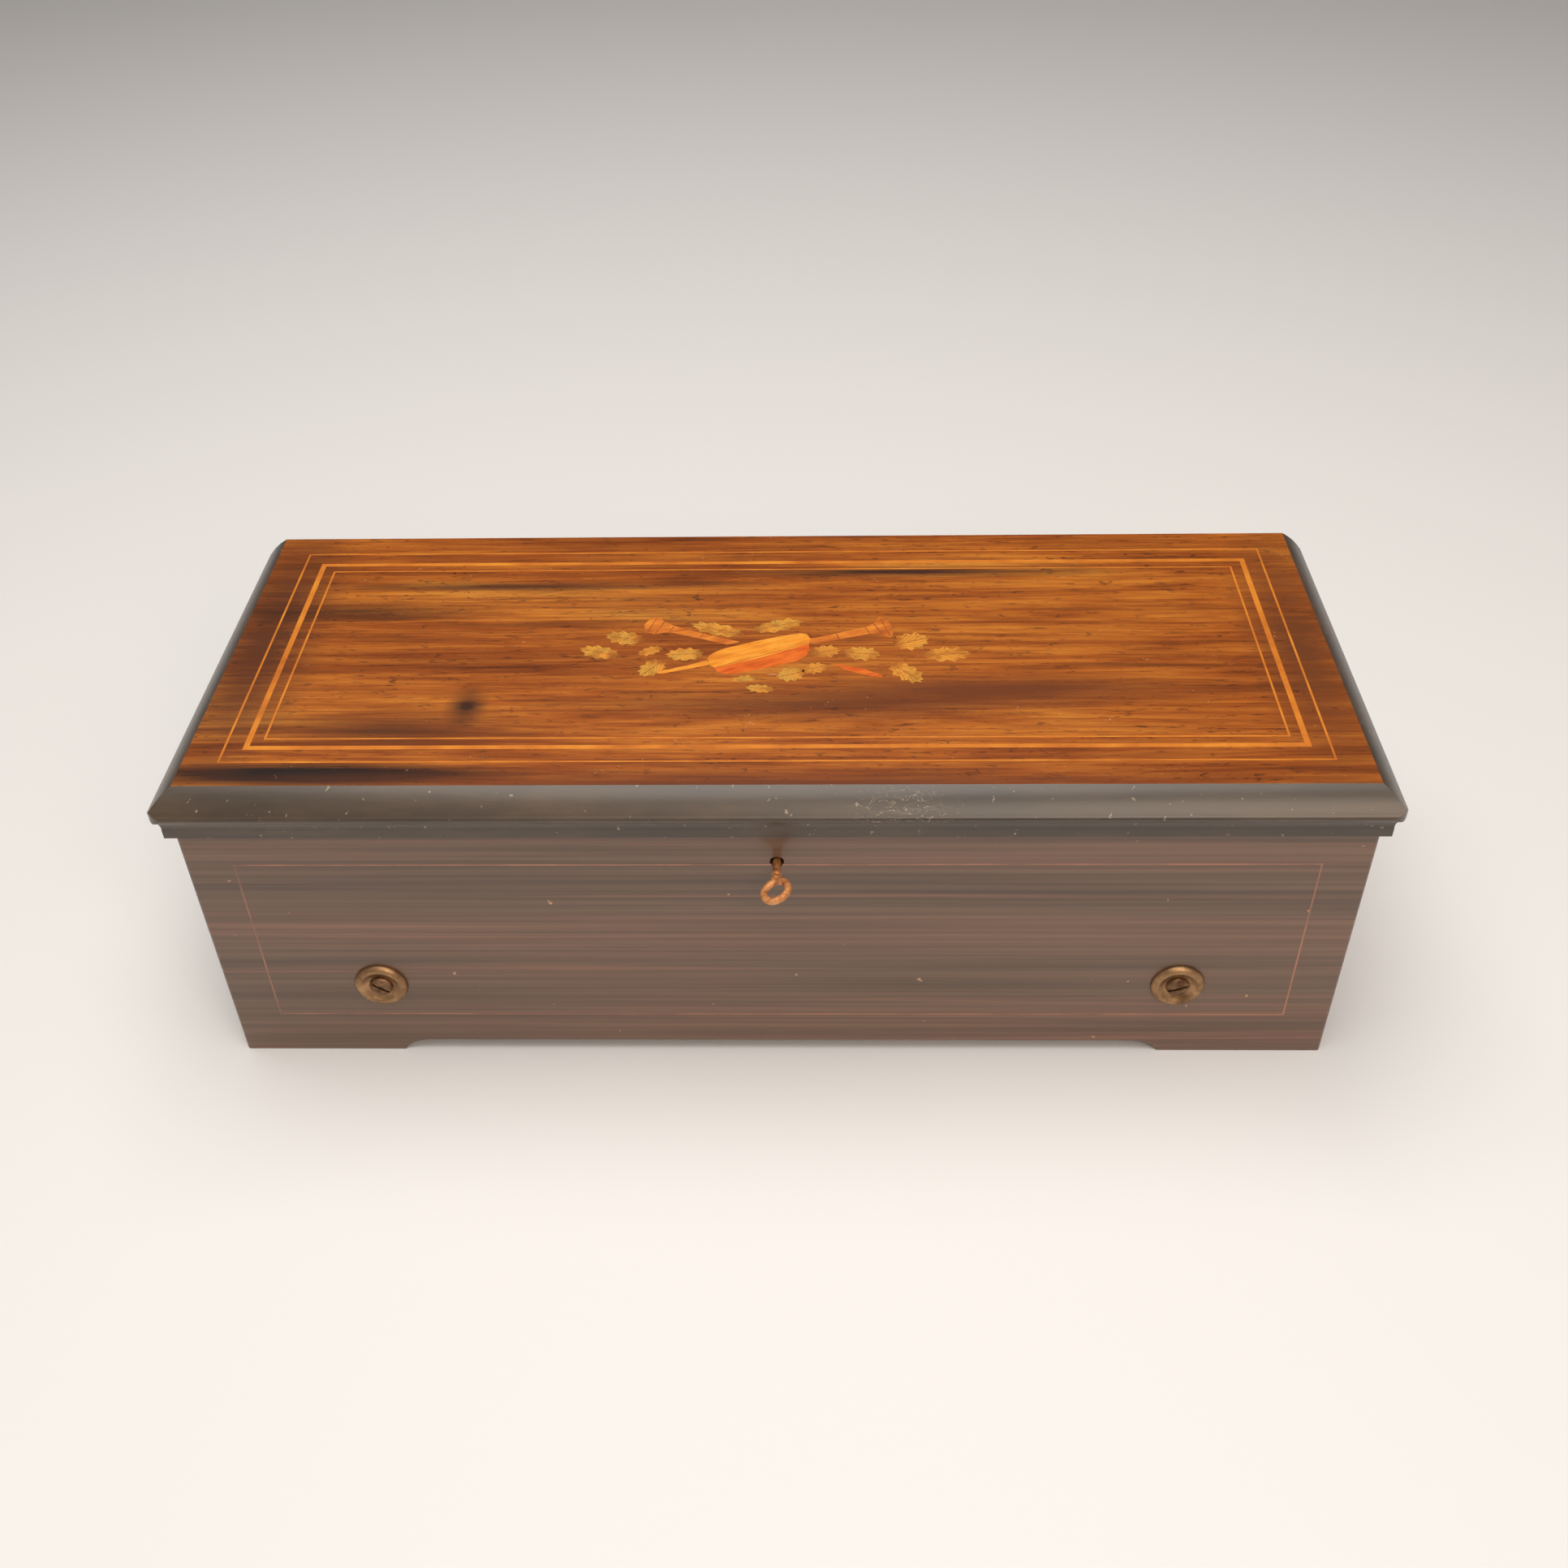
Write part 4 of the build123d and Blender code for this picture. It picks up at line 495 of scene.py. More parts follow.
# Glass lid: an ebonised wooden frame round a pane of old drawn glass, slightly green at its edges.

# Drawn soda glass: clear, with faint waves about 40 mm long that bend what is seen through it.
glass, tree, shader, place = surface(
    "drawn_glass", Roughness=0.02, IOR=1.5, Transmission_Weight=1.0, Base_Color="#eef5f0"
)
waves = streaks(tree, place, 40, 1.0)
add(tree, "Bump", {"Strength": 0.15, "Distance": 0.0002}, {"Height": waves}, feeds=shader.inputs["Normal"])
dress(glass, "glass_pane")


# Lid panel, back rail and tune card: a stained softwood panel under the veneer, and a blank card with a printed
# border, tacked inside the lid.

dress(stained_wood("stained_lid_panel", "#7a4426", "#4e2a15", "X"), "lid_panel", "lid_back_rail")

# Rag card gone yellow: matt, with tea-brown stains some 40 mm wide.
card, tree, shader, place = surface("aged_card", Roughness=0.75)
stains = streaks(tree, place, 38.462, 6.0, 0.65)
stops = [(0.3, "#c7b48a"), (0.62, "#e2d5b4")]
add(tree, "ValToRGB", {"stops": stops}, {"Fac": stains}, feeds=shader.inputs["Base Color"])
rag = streaks(tree, place, 0.66667, 2.0)
add(tree, "Bump", {"Strength": 0.4, "Distance": 0.00003}, {"Height": rag}, feeds=shader.inputs["Normal"])
dress(card, "tune_card")

# Printing ink: brown-black and matt, thin where the press was light.
ink, tree, shader, place = surface("printing_ink", Roughness=0.7)
press = streaks(tree, place, 1.4286, 3.0)
stops = [(0.3, "#4a4030"), (0.7, "#766a50")]
add(tree, "ValToRGB", {"stops": stops}, {"Fac": press}, feeds=shader.inputs["Base Color"])
card_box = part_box("tune_card")
card_low = card_box[0].z * 1000
card_y = (card_box[0].y + card_box[1].y) * 500
card_size = Vector(card_box[1] - card_box[0]) * 1000
ink_depth, ring_inset, tack_inset = 0.03, 13.0, 3.0
row_count, row_pitch, first_row, row_reach, row_width = 6, 9.6, 22.0, 52.0, 0.3
corners = [(x, y) for x in (-1, 1) for y in (-1, 1)]


def at_corner(x, y, inset):
    """The place of one corner of the card, in from its edges."""
    return at(x * (card_size.x / 2 - inset), card_y + y * (card_size.y / 2 - inset), card_low)


printed = []
for inset, width in ((9, 1.2), (13, 0.4), (30, 0.4)):
    size = (card_size.x - inset, card_size.y - inset)
    printed.append(flat_frame((0, card_y, card_low), size, width, (0, 0, 0), (0, 0, -ink_depth)))
for radius in (4.6, 2.6):
    inner = radius - 0.5
    ring_outline = [(0, radius), (0, inner), (ink_depth, inner), (ink_depth, radius), (0, radius)]
    ring = turned(ring_outline, (0, 0, 0), (0, 0, -1), 40)
    printed += [copied(ring, at_corner(x, y, ring_inset)) for x, y in corners]
    bpy.data.objects.remove(ring)
row = block((-row_reach, -row_width / 2, -ink_depth), (row_reach, row_width / 2, 0))
row_top = card_y + card_size.y / 2 - first_row
printed += [copied(row, at(0, row_top - row_pitch * i, card_low)) for i in range(row_count)]
bpy.data.objects.remove(row)
settle(joined(printed), "card_printing", "lid", ink)
tack_outline = [(0, 0), (0, 2.0), (0.3, 2.1), (0.8, 1.7), (1.1, 0.9), (1.2, 0)]
tack = turned(tack_outline, (0, 0, 0), (0, 0, -1), 24)
tacks = [copied(tack, at_corner(x, y, tack_inset)) for x, y in corners]
bpy.data.objects.remove(tack)
settle(joined(tacks), "card_tacks", "lid", old_brass)


# Lid veneer: saw-cut rosewood with an orange-brown ground, black-brown streaks along X and fine dark pores.
# It is french polished, and the polish is worn and scuffed; darker patches along its front, left and right edges
# and a dark one at the front left are painted shade.


def spot(tree, place, centre, size):
    """Soft patch: 1 at its centre and 0 at its rim, with its centre and half size in millimetres."""
    scale = tuple(1000 / s for s in size)
    shift = tuple(-c / s for c, s in zip(centre, size))
    spread = add(tree, "Mapping", {"Scale": scale, "Location": shift}, {"Vector": place})
    return add(tree, "TexGradient", {"gradient_type": "SPHERICAL"}, {"Vector": spread}, "Fac")


# Rosewood under french polish: warm orange-brown with a soft shine, clouds 200 mm long, figure 5 mm wide, and
# fibres and pores drawn 1 mm wide so that they show.
rosewood, tree, shader, place = surface("polished_rosewood", Roughness=0.4, Coat_Weight=0.5, Coat_Roughness=0.2)
masked = {"data_type": "RGBA"}
multiplied = {"operation": "MULTIPLY"}
clouds = streaks(tree, place, (200, 38.462, 38.462), 5.0, 0.6, 0.6)
oranges = [(0.3, "#94501a"), (0.42, "#ab601e"), (0.5, "#bb6c20"), (0.6, "#c77a26"), (0.72, "#cc8a32")]
tone = add(tree, "ValToRGB", {"stops": oranges}, {"Fac": clouds})
figure = streaks(tree, place, (111.11, 5.2632, 5.2632), 6.0, 0.66, 0.6)
tone = darkened(tree, tone, 0.7, figure, [(0.34, "#6a4028"), (0.46, "#c8a284"), (0.6, "#ffffff")])
fibre = streaks(tree, place, (28.571, 1.1111, 1.1111), 4.0, 0.6)
tone = darkened(tree, tone, 0.5, fibre, [(0.35, "#a98f7c"), (0.6, "#ffffff")])
pore_noise = streaks(tree, place, (7.1429, 1.42857, 1.42857), 2.0, 0.5)
pore_field = streaks(tree, place, (83.333, 33.333, 33.333), 3.0, 0.5)
pores = add(tree, "ValToRGB", {"stops": [(0.62, "#000000"), (0.7, "#ffffff")]}, {"Fac": pore_noise})
pores = add(tree, "Math", multiplied, {0: pores, 1: pore_field})
tone = add(tree, "Mix", {**masked, 7: "#2e1408"}, {0: pores, 6: tone}, 2)
band_noise = streaks(tree, place, (200, 5.2632, 5.2632), 5.0, 0.66, 0.4)
veneer_top, patch_height, patch_gain = 152.0, 30.0, 2.2 * 1.9
# Dark patches broken up by the grain: the narrow ones across the middle are streaks in the wood, while the darkest
# one at the front left and the long ones along the left, right and front edges are painted shade.
for x, y, long_half, short_half, code, strength in (
    (-185.0, -74.0, 95.0, 9.0, "#1d100a", 0.95),
    (-128.0, -30.0, 10.0, 17.0, "#3a1c0c", 0.5),
    (60.0, 71.0, 120.0, 6.0, "#3a1d0f", 0.5),
    (-120.0, 61.0, 130.0, 5.0, "#3a1d0f", 0.45),
    (-225.0, 20.0, 30.0, 120.0, "#5a2e14", 0.6),
    (225.0, 10.0, 26.0, 120.0, "#6a3818", 0.5),
    (0.0, -80.0, 260.0, 12.0, "#6a3416", 0.5),
    (-190.0, 41.0, 70.0, 10.0, "#2e160b", 0.36),
    (-160.0, -45.0, 70.0, 16.0, "#5a2e12", 0.45),
    (90.0, -20.0, 120.0, 14.0, "#6a3616", 0.5),
    (20.0, -30.0, 130.0, 12.0, "#5e3014", 0.4),
):
    streak_and_shade = spot(tree, place, (x, y, veneer_top), (long_half, short_half, patch_height))
    streak_and_shade = add(tree, "Math", {**multiplied, 1: patch_gain * strength}, {0: streak_and_shade})
    streak_and_shade = add(tree, "Math", {**multiplied, "use_clamp": True}, {0: streak_and_shade, 1: band_noise})
    tone = add(tree, "Mix", {**masked, 7: code}, {0: streak_and_shade, 6: tone}, 2)
fleck_noise = streaks(tree, place, (6.6667, 3.0303, 3.0303), 3.0, 0.55, 1.2)
flecks = add(tree, "ValToRGB", {"stops": [(0.64, "#000000"), (0.69, "#ffffff")]}, {"Fac": fleck_noise})
flecks = add(tree, "Math", multiplied, {0: flecks, 1: pore_field})
tone = add(tree, "Mix", {**masked, 7: "#2a1409"}, {0: flecks, 6: tone}, 2)
scuff_noise = streaks(tree, place, (3.8462, 3.125, 3.3333), 2.0, 0.5, 1.5)
scuffs = add(tree, "ValToRGB", {"stops": [(0.745, "#000000"), (0.77, "#ffffff")]}, {"Fac": scuff_noise})
scuffs = add(tree, "Math", {**multiplied, 1: 0.6}, {0: scuffs})
add(tree, "Mix", {**masked, 7: "#c9a27a"}, {0: scuffs, 6: tone}, 2, shader.inputs["Base Color"])
add(tree, "MapRange", {"To Min": 0.3, "To Max": 0.52}, {0: clouds}, feeds=shader.inputs["Roughness"])
add(tree, "Bump", {"Strength": 0.5, "Distance": 0.00005}, {"Height": fibre}, feeds=shader.inputs["Normal"])
dress(rosewood, "rosewood_veneer")


# Line inlay of the lid: three rectangles of boxwood and maple string, one thick and two thin, flush with the
# veneer. Polish has turned the pale wood orange.

boxwood, tree, shader, place = surface("boxwood_stringing", Roughness=0.4, Coat_Weight=0.5, Coat_Roughness=0.2)
length = streaks(tree, place, 25, 4.0)
stops = [(0.3, "#b0601e"), (0.5, "#cd7826"), (0.7, "#e0902e")]
add(tree, "ValToRGB", {"stops": stops}, {"Fac": length}, feeds=shader.inputs["Base Color"])
pith = streaks(tree, place, 1.1111, 2.0)
add(tree, "Bump", {"Strength": 0.4, "Distance": 0.00003}, {"Height": pith}, feeds=shader.inputs["Normal"])
dress(boxwood, "line_inlay")


# Inlaid group: a lute across two horns with leaves about it, cut from thin woods, laid in their own panel of
# rosewood veneer and let into the lid as one. The woods are satinwood, padauk and pear, shaded at their edges in
# hot sand, with engraved lines filled dark. Each layer stands a few microns above the one it lies over.

line_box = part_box("line_inlay")
pattern_y = (line_box[0].y + line_box[1].y) * 500
lid_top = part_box("rosewood_veneer")[1].z * 1000
wood_low = lid_top - 0.1
leaf_height, line_height = 0.012, 0.03


def plate(outline, low, high):
    """A thin flat piece: its outline is drawn by extruding one vertex round it, filled, and given a thickness."""
    points = [Vector((x, pattern_y + y, low)) / 1000 for x, y in outline]
    bpy.ops.object.select_all(action="DESELECT")
    bpy.ops.mesh.primitive_plane_add(size=0.001, location=points[0])
    piece = bpy.context.object
    bpy.ops.object.mode_set(mode="EDIT")
    bpy.ops.mesh.select_mode(type="VERT")
    bpy.ops.mesh.merge(type="CENTER")
    for a, b in zip(points, points[1:]):
        bpy.ops.mesh.extrude_region_move(TRANSFORM_OT_translate={"value": b - a})
    bpy.ops.mesh.select_all(action="SELECT")
    bpy.ops.mesh.edge_face_add()
    bpy.ops.mesh.select_all(action="SELECT")
    bpy.ops.mesh.extrude_region_move(TRANSFORM_OT_translate={"value": (0, 0, (high - low) / 1000)})
    bpy.ops.mesh.select_all(action="SELECT")
    bpy.ops.mesh.normals_make_consistent(inside=False)
    bpy.ops.object.mode_set(mode="OBJECT")
    return piece



def shaded_wood(name, light, middle, dark, turn):
    """Thin inlay wood: fibres along its length, drawn 1 mm wide, and browned in patches by hot sand."""
    finish, tree, shader, place = surface(name, Roughness=0.38, Coat_Weight=0.5, Coat_Roughness=0.2)
    settings = {"vector_type": "TEXTURE", "Rotation": (0.0, 0.0, radians(turn))}
    aligned = add(tree, "Mapping", settings, {"Vector": place})
    fibres = streaks(tree, aligned, (11.111, 0.90909, 11.111), 4.0)
    patches = streaks(tree, aligned, (16.667, 6.6667, 16.667), 3.0, 0.55)
    tone = add(tree, "ValToRGB", {"stops": [(0.32, dark), (0.47, middle), (0.62, light)]}, {"Fac": patches})
    tone = darkened(tree, tone, 0.5, fibres, [(0.3, "#b08860"), (0.58, "#ffffff")])
    tree.links.new(tone, shader.inputs["Base Color"])
    add(tree, "Bump", {"Strength": 0.5, "Distance": 0.00003}, {"Height": fibres}, feeds=shader.inputs["Normal"])
    return finish


panel_outline = [(-92, -38), (92, -38), (92, 30), (-92, 30)]
ground = plate(panel_outline, lid_top - 0.2, lid_top + 0.006)
settle(ground, "inlay_ground", "lid", rosewood)

lute_level = (wood_low, lid_top + 0.024)
lute_face_outline = [
    (-26.9, -3.4), (-23.0, -0.6), (-9.4, 4.9), (4.0, 9.4), (10.6, 10.9), (13.4, 9.8), (14.6, 6.6), (14.0, 3.0),
    (-6.2, -7.2), (-25.8, -14.6), (-28.4, -12.6), (-29.6, -9.2), (-29.0, -6.0),
]
lute_neck_outline = [
    (-29.4, -8.6), (-38.0, -12.6), (-46.4, -15.8), (-49.4, -15.6), (-50.0, -18.6), (-47.2, -18.4), (-38.0, -15.4),
    (-28.6, -12.6),
]
lute_side_outline = [
    (14.0, 3.0), (14.4, -1.6), (13.0, -6.0), (8.6, -10.0), (-3.2, -14.6), (-16.5, -18.8), (-21.5, -19.2),
    (-25.0, -17.4), (-25.8, -14.6), (-6.2, -7.2),
]
satinwood = shaded_wood("shaded_satinwood", "#f6a53a", "#ee972e", "#d97f24", 22)
lute = joined([plate(lute_face_outline, *lute_level), plate(lute_neck_outline, *lute_level)])
lute = settle(lute, "inlaid_lute_face", "lid", satinwood)
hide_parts("instrument_inlay")
padauk = shaded_wood("shaded_padauk", "#e67526", "#db661e", "#c2501a", 22)
settle(plate(lute_side_outline, *lute_level), "inlaid_lute_side", "lid", padauk)

horn_level = (wood_low, lid_top + 0.018)
right_horn_outline = [
    (12.8, 7.2), (15.6, 6.9), (28.0, 11.2), (39.0, 15.4), (43.0, 18.8), (45.0, 23.0), (47.8, 21.8), (50.2, 17.0),
    (51.0, 11.6), (49.8, 7.2), (46.4, 9.4), (40.6, 10.2), (28.4, 6.4), (16.0, 2.8), (14.6, 3.4),
]
left_horn_outline = [
    (-16.0, 4.6), (-19.5, 5.9), (-33.0, 11.2), (-45.4, 17.0), (-50.0, 20.4), (-52.6, 24.4), (-56.6, 23.0),
    (-58.8, 18.0), (-57.8, 12.2), (-53.6, 10.6), (-47.4, 12.2), (-34.0, 7.4), (-21.5, 2.4),
]
pear = shaded_wood("shaded_pear", "#e48a30", "#d2762a", "#b65e22", 15)
horns = joined([plate(right_horn_outline, *horn_level), plate(left_horn_outline, *horn_level)])
settle(horns, "inlaid_horns", "lid", pear)


def engraved(first, last, width):
    """One engraved line, filled with dark wax: a hair-thin plate from point to point."""
    run = Vector((last[0] - first[0], last[1] - first[1]))
    side = Vector((-run.y, run.x)).normalized() * width / 2
    first, last = Vector(first), Vector(last)
    return plate([first + side, first - side, last - side, last + side], lid_top, lid_top + line_height)


# Wax rubbed into the cuts: brown, dull, and thicker in some places than in others.
wax, tree, shader, place = surface("engraving_wax", Roughness=0.5)
depth = streaks(tree, place, 2.5, 3.0)
stops = [(0.35, "#7a3c14"), (0.65, "#a85a22")]
add(tree, "ValToRGB", {"stops": stops}, {"Fac": depth}, feeds=shader.inputs["Base Color"])
line_runs = [
    ((13.6, 3.2), (-25.4, -14.2), 0.35), ((-28.6, -9.0), (-49.0, -16.9), 0.3), ((38.6, 15.2), (40.8, 10.4), 0.5),
    ((42.4, 18.0), (46.2, 9.6), 0.5), ((45.6, 21.6), (49.6, 8.2), 0.4), ((26.0, 10.4), (27.2, 6.2), 0.45),
    ((-45.6, 16.8), (-47.2, 12.4), 0.5), ((-50.0, 20.0), (-53.4, 11.0), 0.5), ((-53.6, 23.4), (-56.8, 12.6), 0.4),
    ((-32.2, 10.6), (-33.6, 7.8), 0.45),
]
settle(joined([engraved(*run) for run in line_runs]), "engraved_lines", "lid", wax)

# Thin pale wood, engraved with a rib and slanting veins: gold-brown and mottled, and darker at the stalk.
leaf_wood, tree, shader, place = surface("engraved_leaf_wood", Roughness=0.42, Coat_Weight=0.5, Coat_Roughness=0.2)
chart = add(tree, "TexCoord", out="UV")
spaced = add(tree, "SeparateXYZ", {}, {0: chart}).node.outputs
side = add(tree, "Math", {"operation": "SUBTRACT", 1: 0.5}, {0: spaced["Y"]})
side = add(tree, "Math", {"operation": "ABSOLUTE"}, {0: side})
rib = add(tree, "MapRange", {"From Min": 0.01, "From Max": 0.045}, {0: side})
vein_count, vein_slant = 30.0, 34.0
across = add(tree, "Math", {**multiplied, 1: vein_count}, {0: spaced["X"]})
slant = add(tree, "Math", {**multiplied, 1: vein_slant}, {0: side})
slant = add(tree, "Math", {"operation": "SUBTRACT"}, {0: across, 1: slant})
vein = add(tree, "Math", {"operation": "SINE"}, {0: slant})
vein = add(tree, "MapRange", {"From Min": -1.0, "From Max": -0.7}, {0: vein})
drawn = add(tree, "Math", multiplied, {0: rib, 1: vein})
hue = streaks(tree, place, (28.571, 22.222, 33.333), 2.0)
golds = [(0.3, "#c8822e"), (0.45, "#dd9434"), (0.58, "#c8963c"), (0.7, "#e09a36")]
tone = add(tree, "ValToRGB", {"stops": golds}, {"Fac": hue})
mottle = streaks(tree, place, 4.1667, 3.0, 0.55)
tone = darkened(tree, tone, 0.55, mottle, [(0.36, "#a8783c"), (0.54, "#ffffff")])
tone = darkened(tree, tone, 0.7, spaced["X"], [(0.0, "#a06a34"), (0.3, "#ffffff")])
add(tree, "Mix", {**masked, 6: "#9a5c22"}, {0: drawn, 7: tone}, 2, shader.inputs["Base Color"])

# The leaf is modelled once, 1 unit long and wide: a filled circle, notched, pointed and given its thickness.
bpy.ops.object.select_all(action="DESELECT")
bpy.ops.mesh.primitive_circle_add(vertices=22, radius=0.5, fill_type="NGON", calc_uvs=True)
first_leaf = bpy.context.object
bpy.ops.object.mode_set(mode="EDIT")
bpy.ops.mesh.select_mode(type="VERT")
bpy.ops.mesh.select_all(action="DESELECT")
bpy.ops.object.mode_set(mode="OBJECT")
for point in first_leaf.data.vertices:
    point.select = point.index % 2 == 1
bpy.ops.object.mode_set(mode="EDIT")
bpy.ops.transform.resize(value=(0.84, 0.7, 1.0), center_override=(-0.05, 0, 0))
bpy.ops.mesh.select_all(action="DESELECT")
bpy.ops.object.mode_set(mode="OBJECT")
for point in first_leaf.data.vertices:
    point.select = point.co.x > 0.4
bpy.ops.object.mode_set(mode="EDIT")
bpy.ops.transform.resize(value=(1.0, 0.5, 1.0), center_override=(0.5, 0, 0))
bpy.ops.mesh.select_all(action="SELECT")
bpy.ops.mesh.extrude_region_move(TRANSFORM_OT_translate={"value": (0, 0, 1.0)})
bpy.ops.mesh.select_all(action="SELECT")
bpy.ops.mesh.normals_make_consistent(inside=False)
bpy.ops.object.mode_set(mode="OBJECT")
leaf_scale = (lid_top + leaf_height - wood_low) / 1000
leaf_places = [
    (-76.6, -2.8, 163, 19, 10), (-66.4, 7.8, 167, 18.5, 11), (-54.6, -2.0, -151, 12, 6.5),
    (-52.8, -14.6, -128, 15, 11), (-39.5, -4.6, -176, 17, 10.5), (-26.2, 14.0, 161, 26, 10),
    (0.5, 16.8, 18, 24, 10), (21.0, -3.0, 12, 14, 10), (36.8, -4.6, -6, 17, 11), (16.5, -15.2, 20, 12, 8.5),
    (6.6, -19.4, -160, 13, 11), (-12.8, -22.5, -168, 12, 5), (-6.2, -29.6, 170, 13, 6),
    (58.4, 4.4, 21, 17, 14), (73.1, -5.4, 4, 22, 11.5), (55.5, -18.5, -46, 19, 11.5),
]
leaves = []
for x, y, turn, length, width in leaf_places:
    size = Matrix.Diagonal((length / 1000, width / 1000, leaf_scale, 1.0))
    seat = at(x, pattern_y + y, wood_low)
    leaves.append(copied(first_leaf, seat @ Matrix.Rotation(radians(turn), 4, "Z") @ size))
bpy.data.objects.remove(first_leaf)
settle(joined(leaves), "inlaid_leaves", "lid", leaf_wood)
stalk_outline = [
    (24.8, -12.2), (31.0, -13.8), (38.0, -16.2), (45.4, -20.6), (45.0, -22.2), (37.0, -19.6), (30.0, -16.6),
]
settle(plate(stalk_outline, *horn_level), "inlaid_stalk", "lid", padauk)


# Lid mouldings and the glass lid's frame: beech, moulded, stained black and polished. The black is worn brown on
# the edges, with dust, fine chips and a pale scratch on the front.

ebonised, tree, shader, place = surface("ebonised_beech", Roughness=0.42, Coat_Weight=0.45, Coat_Roughness=0.25)
bloom = streaks(tree, place, (111.11, 25, 25), 6.0, 0.65)
blacks = [(0.35, "#33281e"), (0.52, "#433528"), (0.7, "#564434")]
tone = add(tree, "ValToRGB", {"stops": blacks}, {"Fac": bloom})
chip_noise = streaks(tree, place, 2.9412, 3.0, 0.55)
chips = add(tree, "ValToRGB", {"stops": [(0.69, "#000000"), (0.72, "#ffffff")]}, {"Fac": chip_noise})
chips = add(tree, "Math", {**multiplied, 1: 0.55}, {0: chips})
tone = add(tree, "Mix", {**masked, 7: "#a8937a"}, {0: chips, 6: tone}, 2)
scratch_noise = streaks(tree, place, (11.111, 3.8462, 3.8462), 1.0, 0.4, 2.5)
scratch_stops = [(0.49, "#000000"), (0.5, "#ffffff"), (0.51, "#000000")]
scratch = add(tree, "ValToRGB", {"stops": scratch_stops}, {"Fac": scratch_noise})
scratch_place = spot(tree, place, (52.0, -88.0, 146.0), (26.0, 12.0, 12.0))
scratch_place = add(tree, "Math", {**multiplied, 1: 2.0}, {0: scratch_place})
scratch = add(tree, "Math", multiplied, {0: scratch, 1: scratch_place})
add(tree, "Mix", {**masked, 7: "#a8957c"}, {0: scratch, 6: tone}, 2, shader.inputs["Base Color"])
add(tree, "MapRange", {"To Min": 0.3, "To Max": 0.5}, {0: bloom}, feeds=shader.inputs["Roughness"])
grain = streaks(tree, place, (16.667, 1.42857, 1.42857), 4.0)
add(tree, "Bump", {"Strength": 0.5, "Distance": 0.00005}, {"Height": grain}, feeds=shader.inputs["Normal"])
dress(ebonised, "front_moulding", "left_moulding", "right_moulding", "glass_lid_frame")


# Key: a small forged steel key with an oval bow, a collar and a hollow shank, browned all over with rust.

# Forged steel under old rust: orange-brown, matt and flaked.
rust, tree, shader, place = surface("rusted_steel", Metallic=0.4, Roughness=0.55)
flakes = streaks(tree, place, 2.381, 6.0, 0.65)
stops = [(0.3, "#8a5230"), (0.5, "#c98650"), (0.62, "#dda068"), (0.75, "#9c6238")]
add(tree, "ValToRGB", {"stops": stops}, {"Fac": flakes}, feeds=shader.inputs["Base Color"])
add(tree, "Bump", {"Strength": 0.6, "Distance": 0.0002}, {"Height": flakes}, feeds=shader.inputs["Normal"])
bow_to_front, bow_to_shank, bit_half, bit_reach, key_turn = 7.1, 5.4, 1.6, 4.5, 20
bow_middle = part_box("key")[0].y * 1000 + bow_to_front
bow_place = Vector((key_x, bow_middle, key_z)) / 1000
bpy.ops.object.select_all(action="DESELECT")
bpy.ops.mesh.primitive_torus_add(
    major_segments=64, minor_segments=20, major_radius=0.0053, minor_radius=0.00155, location=bow_place
)
bow = bpy.context.object
bow.scale = (0.97, 1.03, 0.95)
bpy.ops.object.transform_apply(location=False, rotation=False, scale=True)
shank_outline = [
    (0, 0), (0, 1.2), (0.6, 2.1), (1.6, 2.3), (2.4, 1.9), (3.0, 1.55), (3.8, 2.05), (4.6, 2.05), (5.2, 1.65),
    (33.4, 1.65), (33.4, 0.95), (24.0, 0.95), (24.0, 0),
]
shank = turned(shank_outline, (key_x, bow_middle + bow_to_shank, key_z), (0, 1, 0), 32)
bolt_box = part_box("lock_bolt")
bit_y = (bolt_box[0].y + bolt_box[1].y) * 500
bit_low = (key_x + 1.2, bit_y - bit_half, key_z - 0.6)
bit_high = (key_x + bit_reach, bit_y + bit_half, key_z + 0.6)
key = joined([bow, shank, block(bit_low, bit_high, 0.15)])
bpy.ops.object.transform_apply(location=True, rotation=True, scale=True)
bpy.ops.object.mode_set(mode="EDIT")
bpy.ops.mesh.select_all(action="SELECT")
bpy.ops.transform.rotate(value=radians(key_turn), orient_axis="Y", center_override=bow_place)
bpy.ops.object.mode_set(mode="OBJECT")
key = settle(key, "key_forged", "key", rust)
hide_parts("key")


# Table and light: a pale table that runs back to a wall, a large soft lamp above, and a fill in front.
# The wall and the world are pale to the camera; the wall is dark to the polish, which mirrors it.

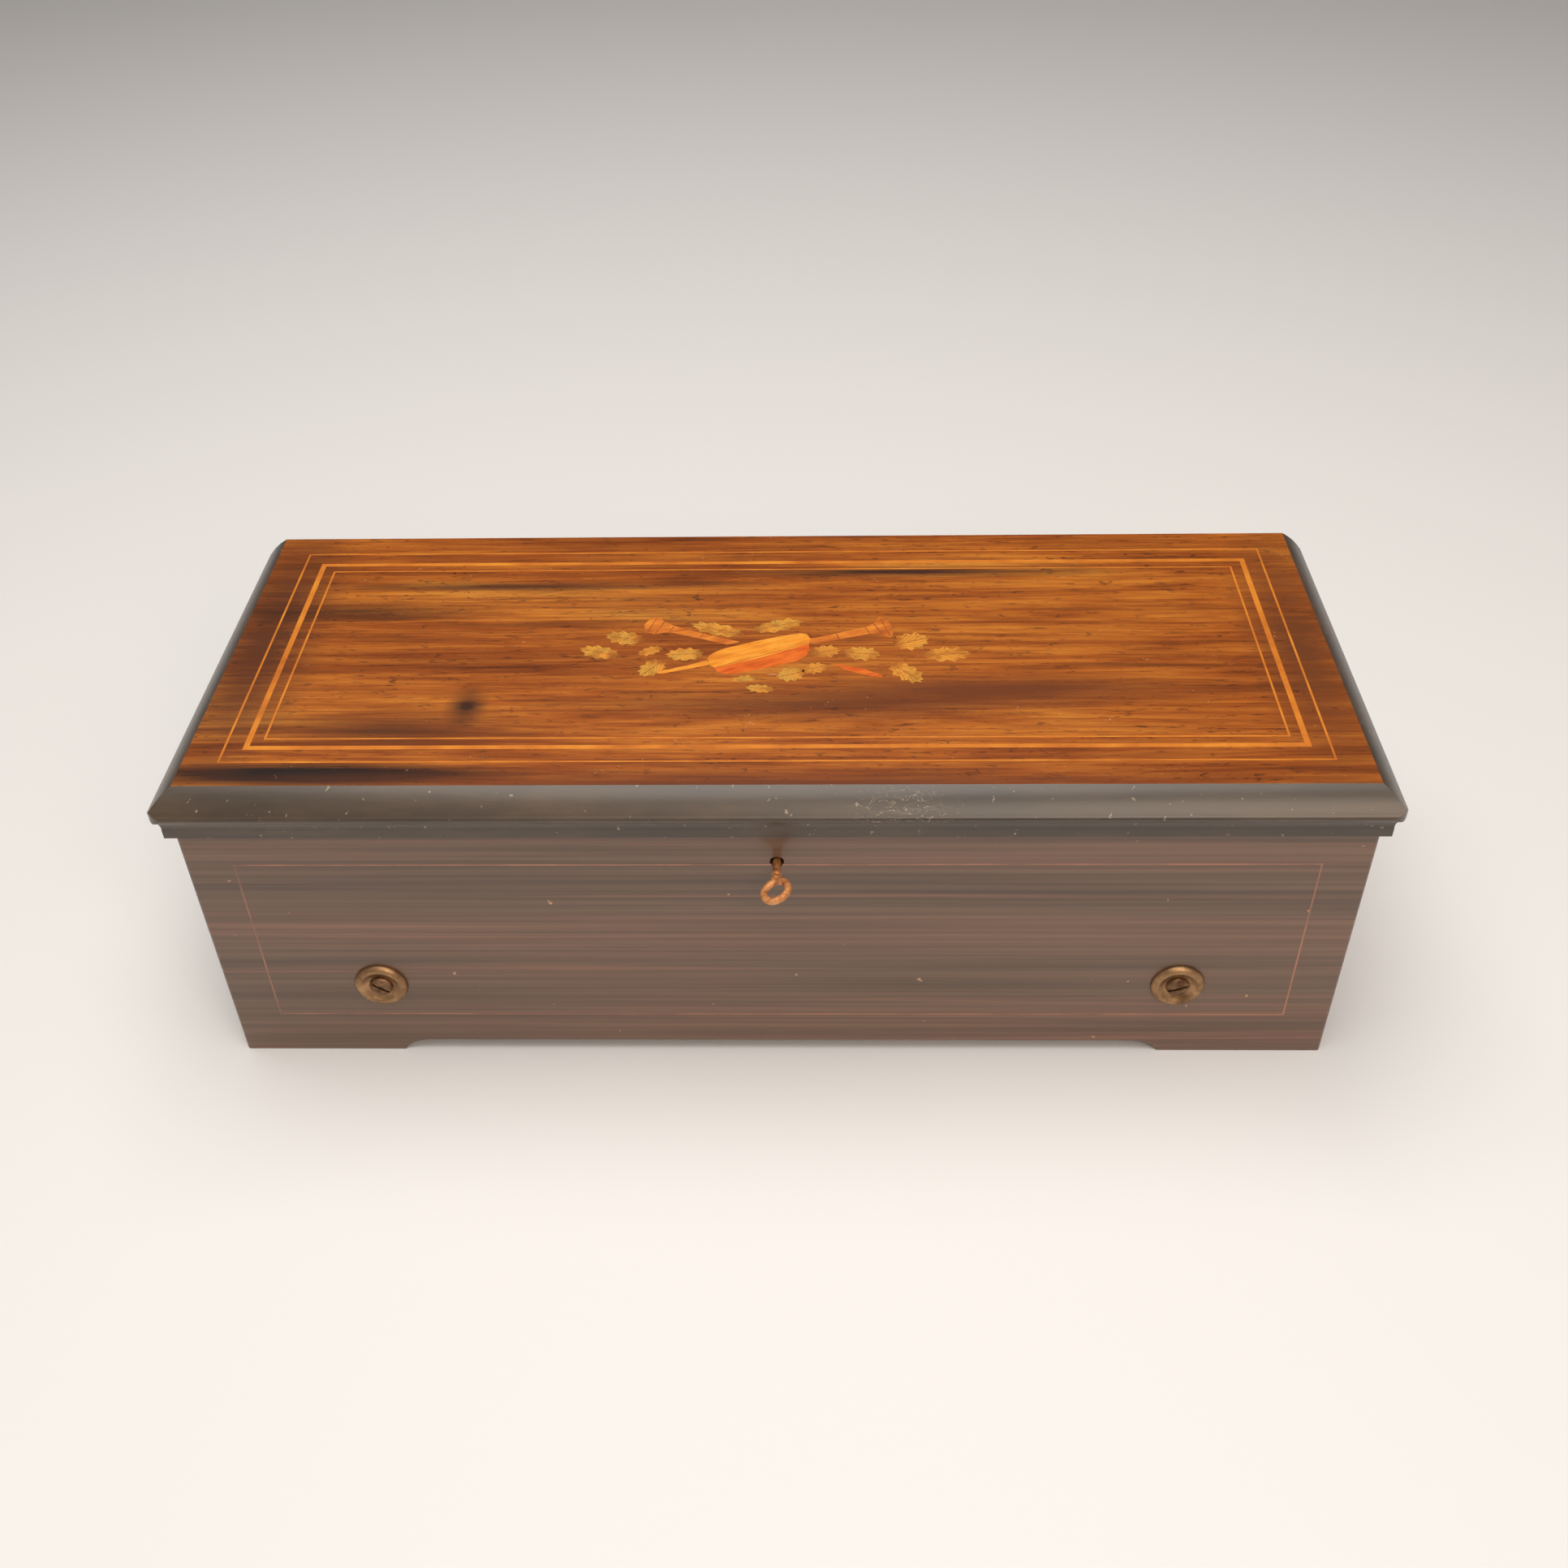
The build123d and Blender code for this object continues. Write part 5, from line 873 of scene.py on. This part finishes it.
table_size, wall_y = 12.0, 3.2
floor, tree, shader, place = surface("pale_table", Roughness=0.6, Specular_IOR_Level=0.2, Base_Color="#e6e6e8")
bpy.ops.object.select_all(action="DESELECT")
bpy.ops.mesh.primitive_plane_add(size=table_size, location=(0, 0, 0))
table = bpy.context.object
table.name = "table"
table.data.materials.append(floor)
wall_paint, tree, shader, place = surface("grey_wall", Roughness=0.8, Base_Color="#5a524e")
pale = {"Color": "#d9d6d2", "Strength": 1.0}
seen = add(tree, "LightPath", out="Is Camera Ray")
shown = add(tree, "Emission", pale)
surface_out = tree.nodes["Material Output"].inputs["Surface"]
add(tree, "MixShader", {}, {0: seen, 1: shader.outputs[0], 2: shown}, feeds=surface_out)
bpy.ops.mesh.primitive_plane_add(
    size=table_size, location=(0, wall_y, table_size / 2), rotation=(pi / 2, 0, 0)
)
wall = bpy.context.object
wall.name = "wall"
wall.data.materials.append(wall_paint)
lit_height = 0.08


def lamp(name, place, size, power, tint):
    """A rectangular lamp that faces the box, in metres and watts."""
    light = bpy.data.lights.new(name, "AREA")
    light.shape = "RECTANGLE"
    light.size, light.size_y = size
    light.energy = power
    light.color = linear(tint)[:3]
    made = bpy.data.objects.new(name, light)
    bpy.context.collection.objects.link(made)
    made.location = place
    made.rotation_euler = (Vector((0, 0, lit_height)) - Vector(place)).to_track_quat("-Z", "Y").to_euler()


lamp("top_softbox", (-0.1, -0.05, 1.7), (1.8, 1.4), 29, "#fffaf2")
lamp("front_fill", (0.6, -1.6, 1.4), (1.3, 0.8), 16, "#ffeedb")
world = bpy.data.worlds.new("studio")
world.use_nodes = True
bpy.context.scene.world = world
tree = world.node_tree
sky = tree.nodes["Background"]
sky.inputs["Color"].default_value = linear("#fffaf3")
sky.inputs["Strength"].default_value = 0.3
seen = add(tree, "LightPath", out="Is Camera Ray")
shown = add(tree, "Background", pale)
world_out = tree.nodes["World Output"].inputs["Surface"]
add(tree, "MixShader", {}, {0: seen, 1: sky.outputs[0], 2: shown}, feeds=world_out)


# Camera: fitted to the photograph's own perspective, so it also leans by a degree and a half.

camera_data = bpy.data.cameras.new("camera")
camera_data.lens = 37.741
camera_data.sensor_width = 36.0
camera = bpy.data.objects.new("camera", camera_data)
bpy.context.collection.objects.link(camera)
camera_place = (0.02191, -0.57144, 0.56396)
yaw, pitch, roll = radians(-1.971), radians(39.98), radians(-1.407)
view = Vector((sin(yaw) * cos(pitch), cos(yaw) * cos(pitch), -sin(pitch)))
level = Vector((cos(yaw), -sin(yaw), 0))
right = level * cos(roll) + level.cross(view) * sin(roll)
up = level.cross(view) * cos(roll) - level * sin(roll)
facing = Matrix((right, up, -view)).transposed().to_4x4()
camera.matrix_world = Matrix.Translation(camera_place) @ facing
bpy.context.scene.camera = camera
bpy.context.scene.view_settings.view_transform = "Standard"
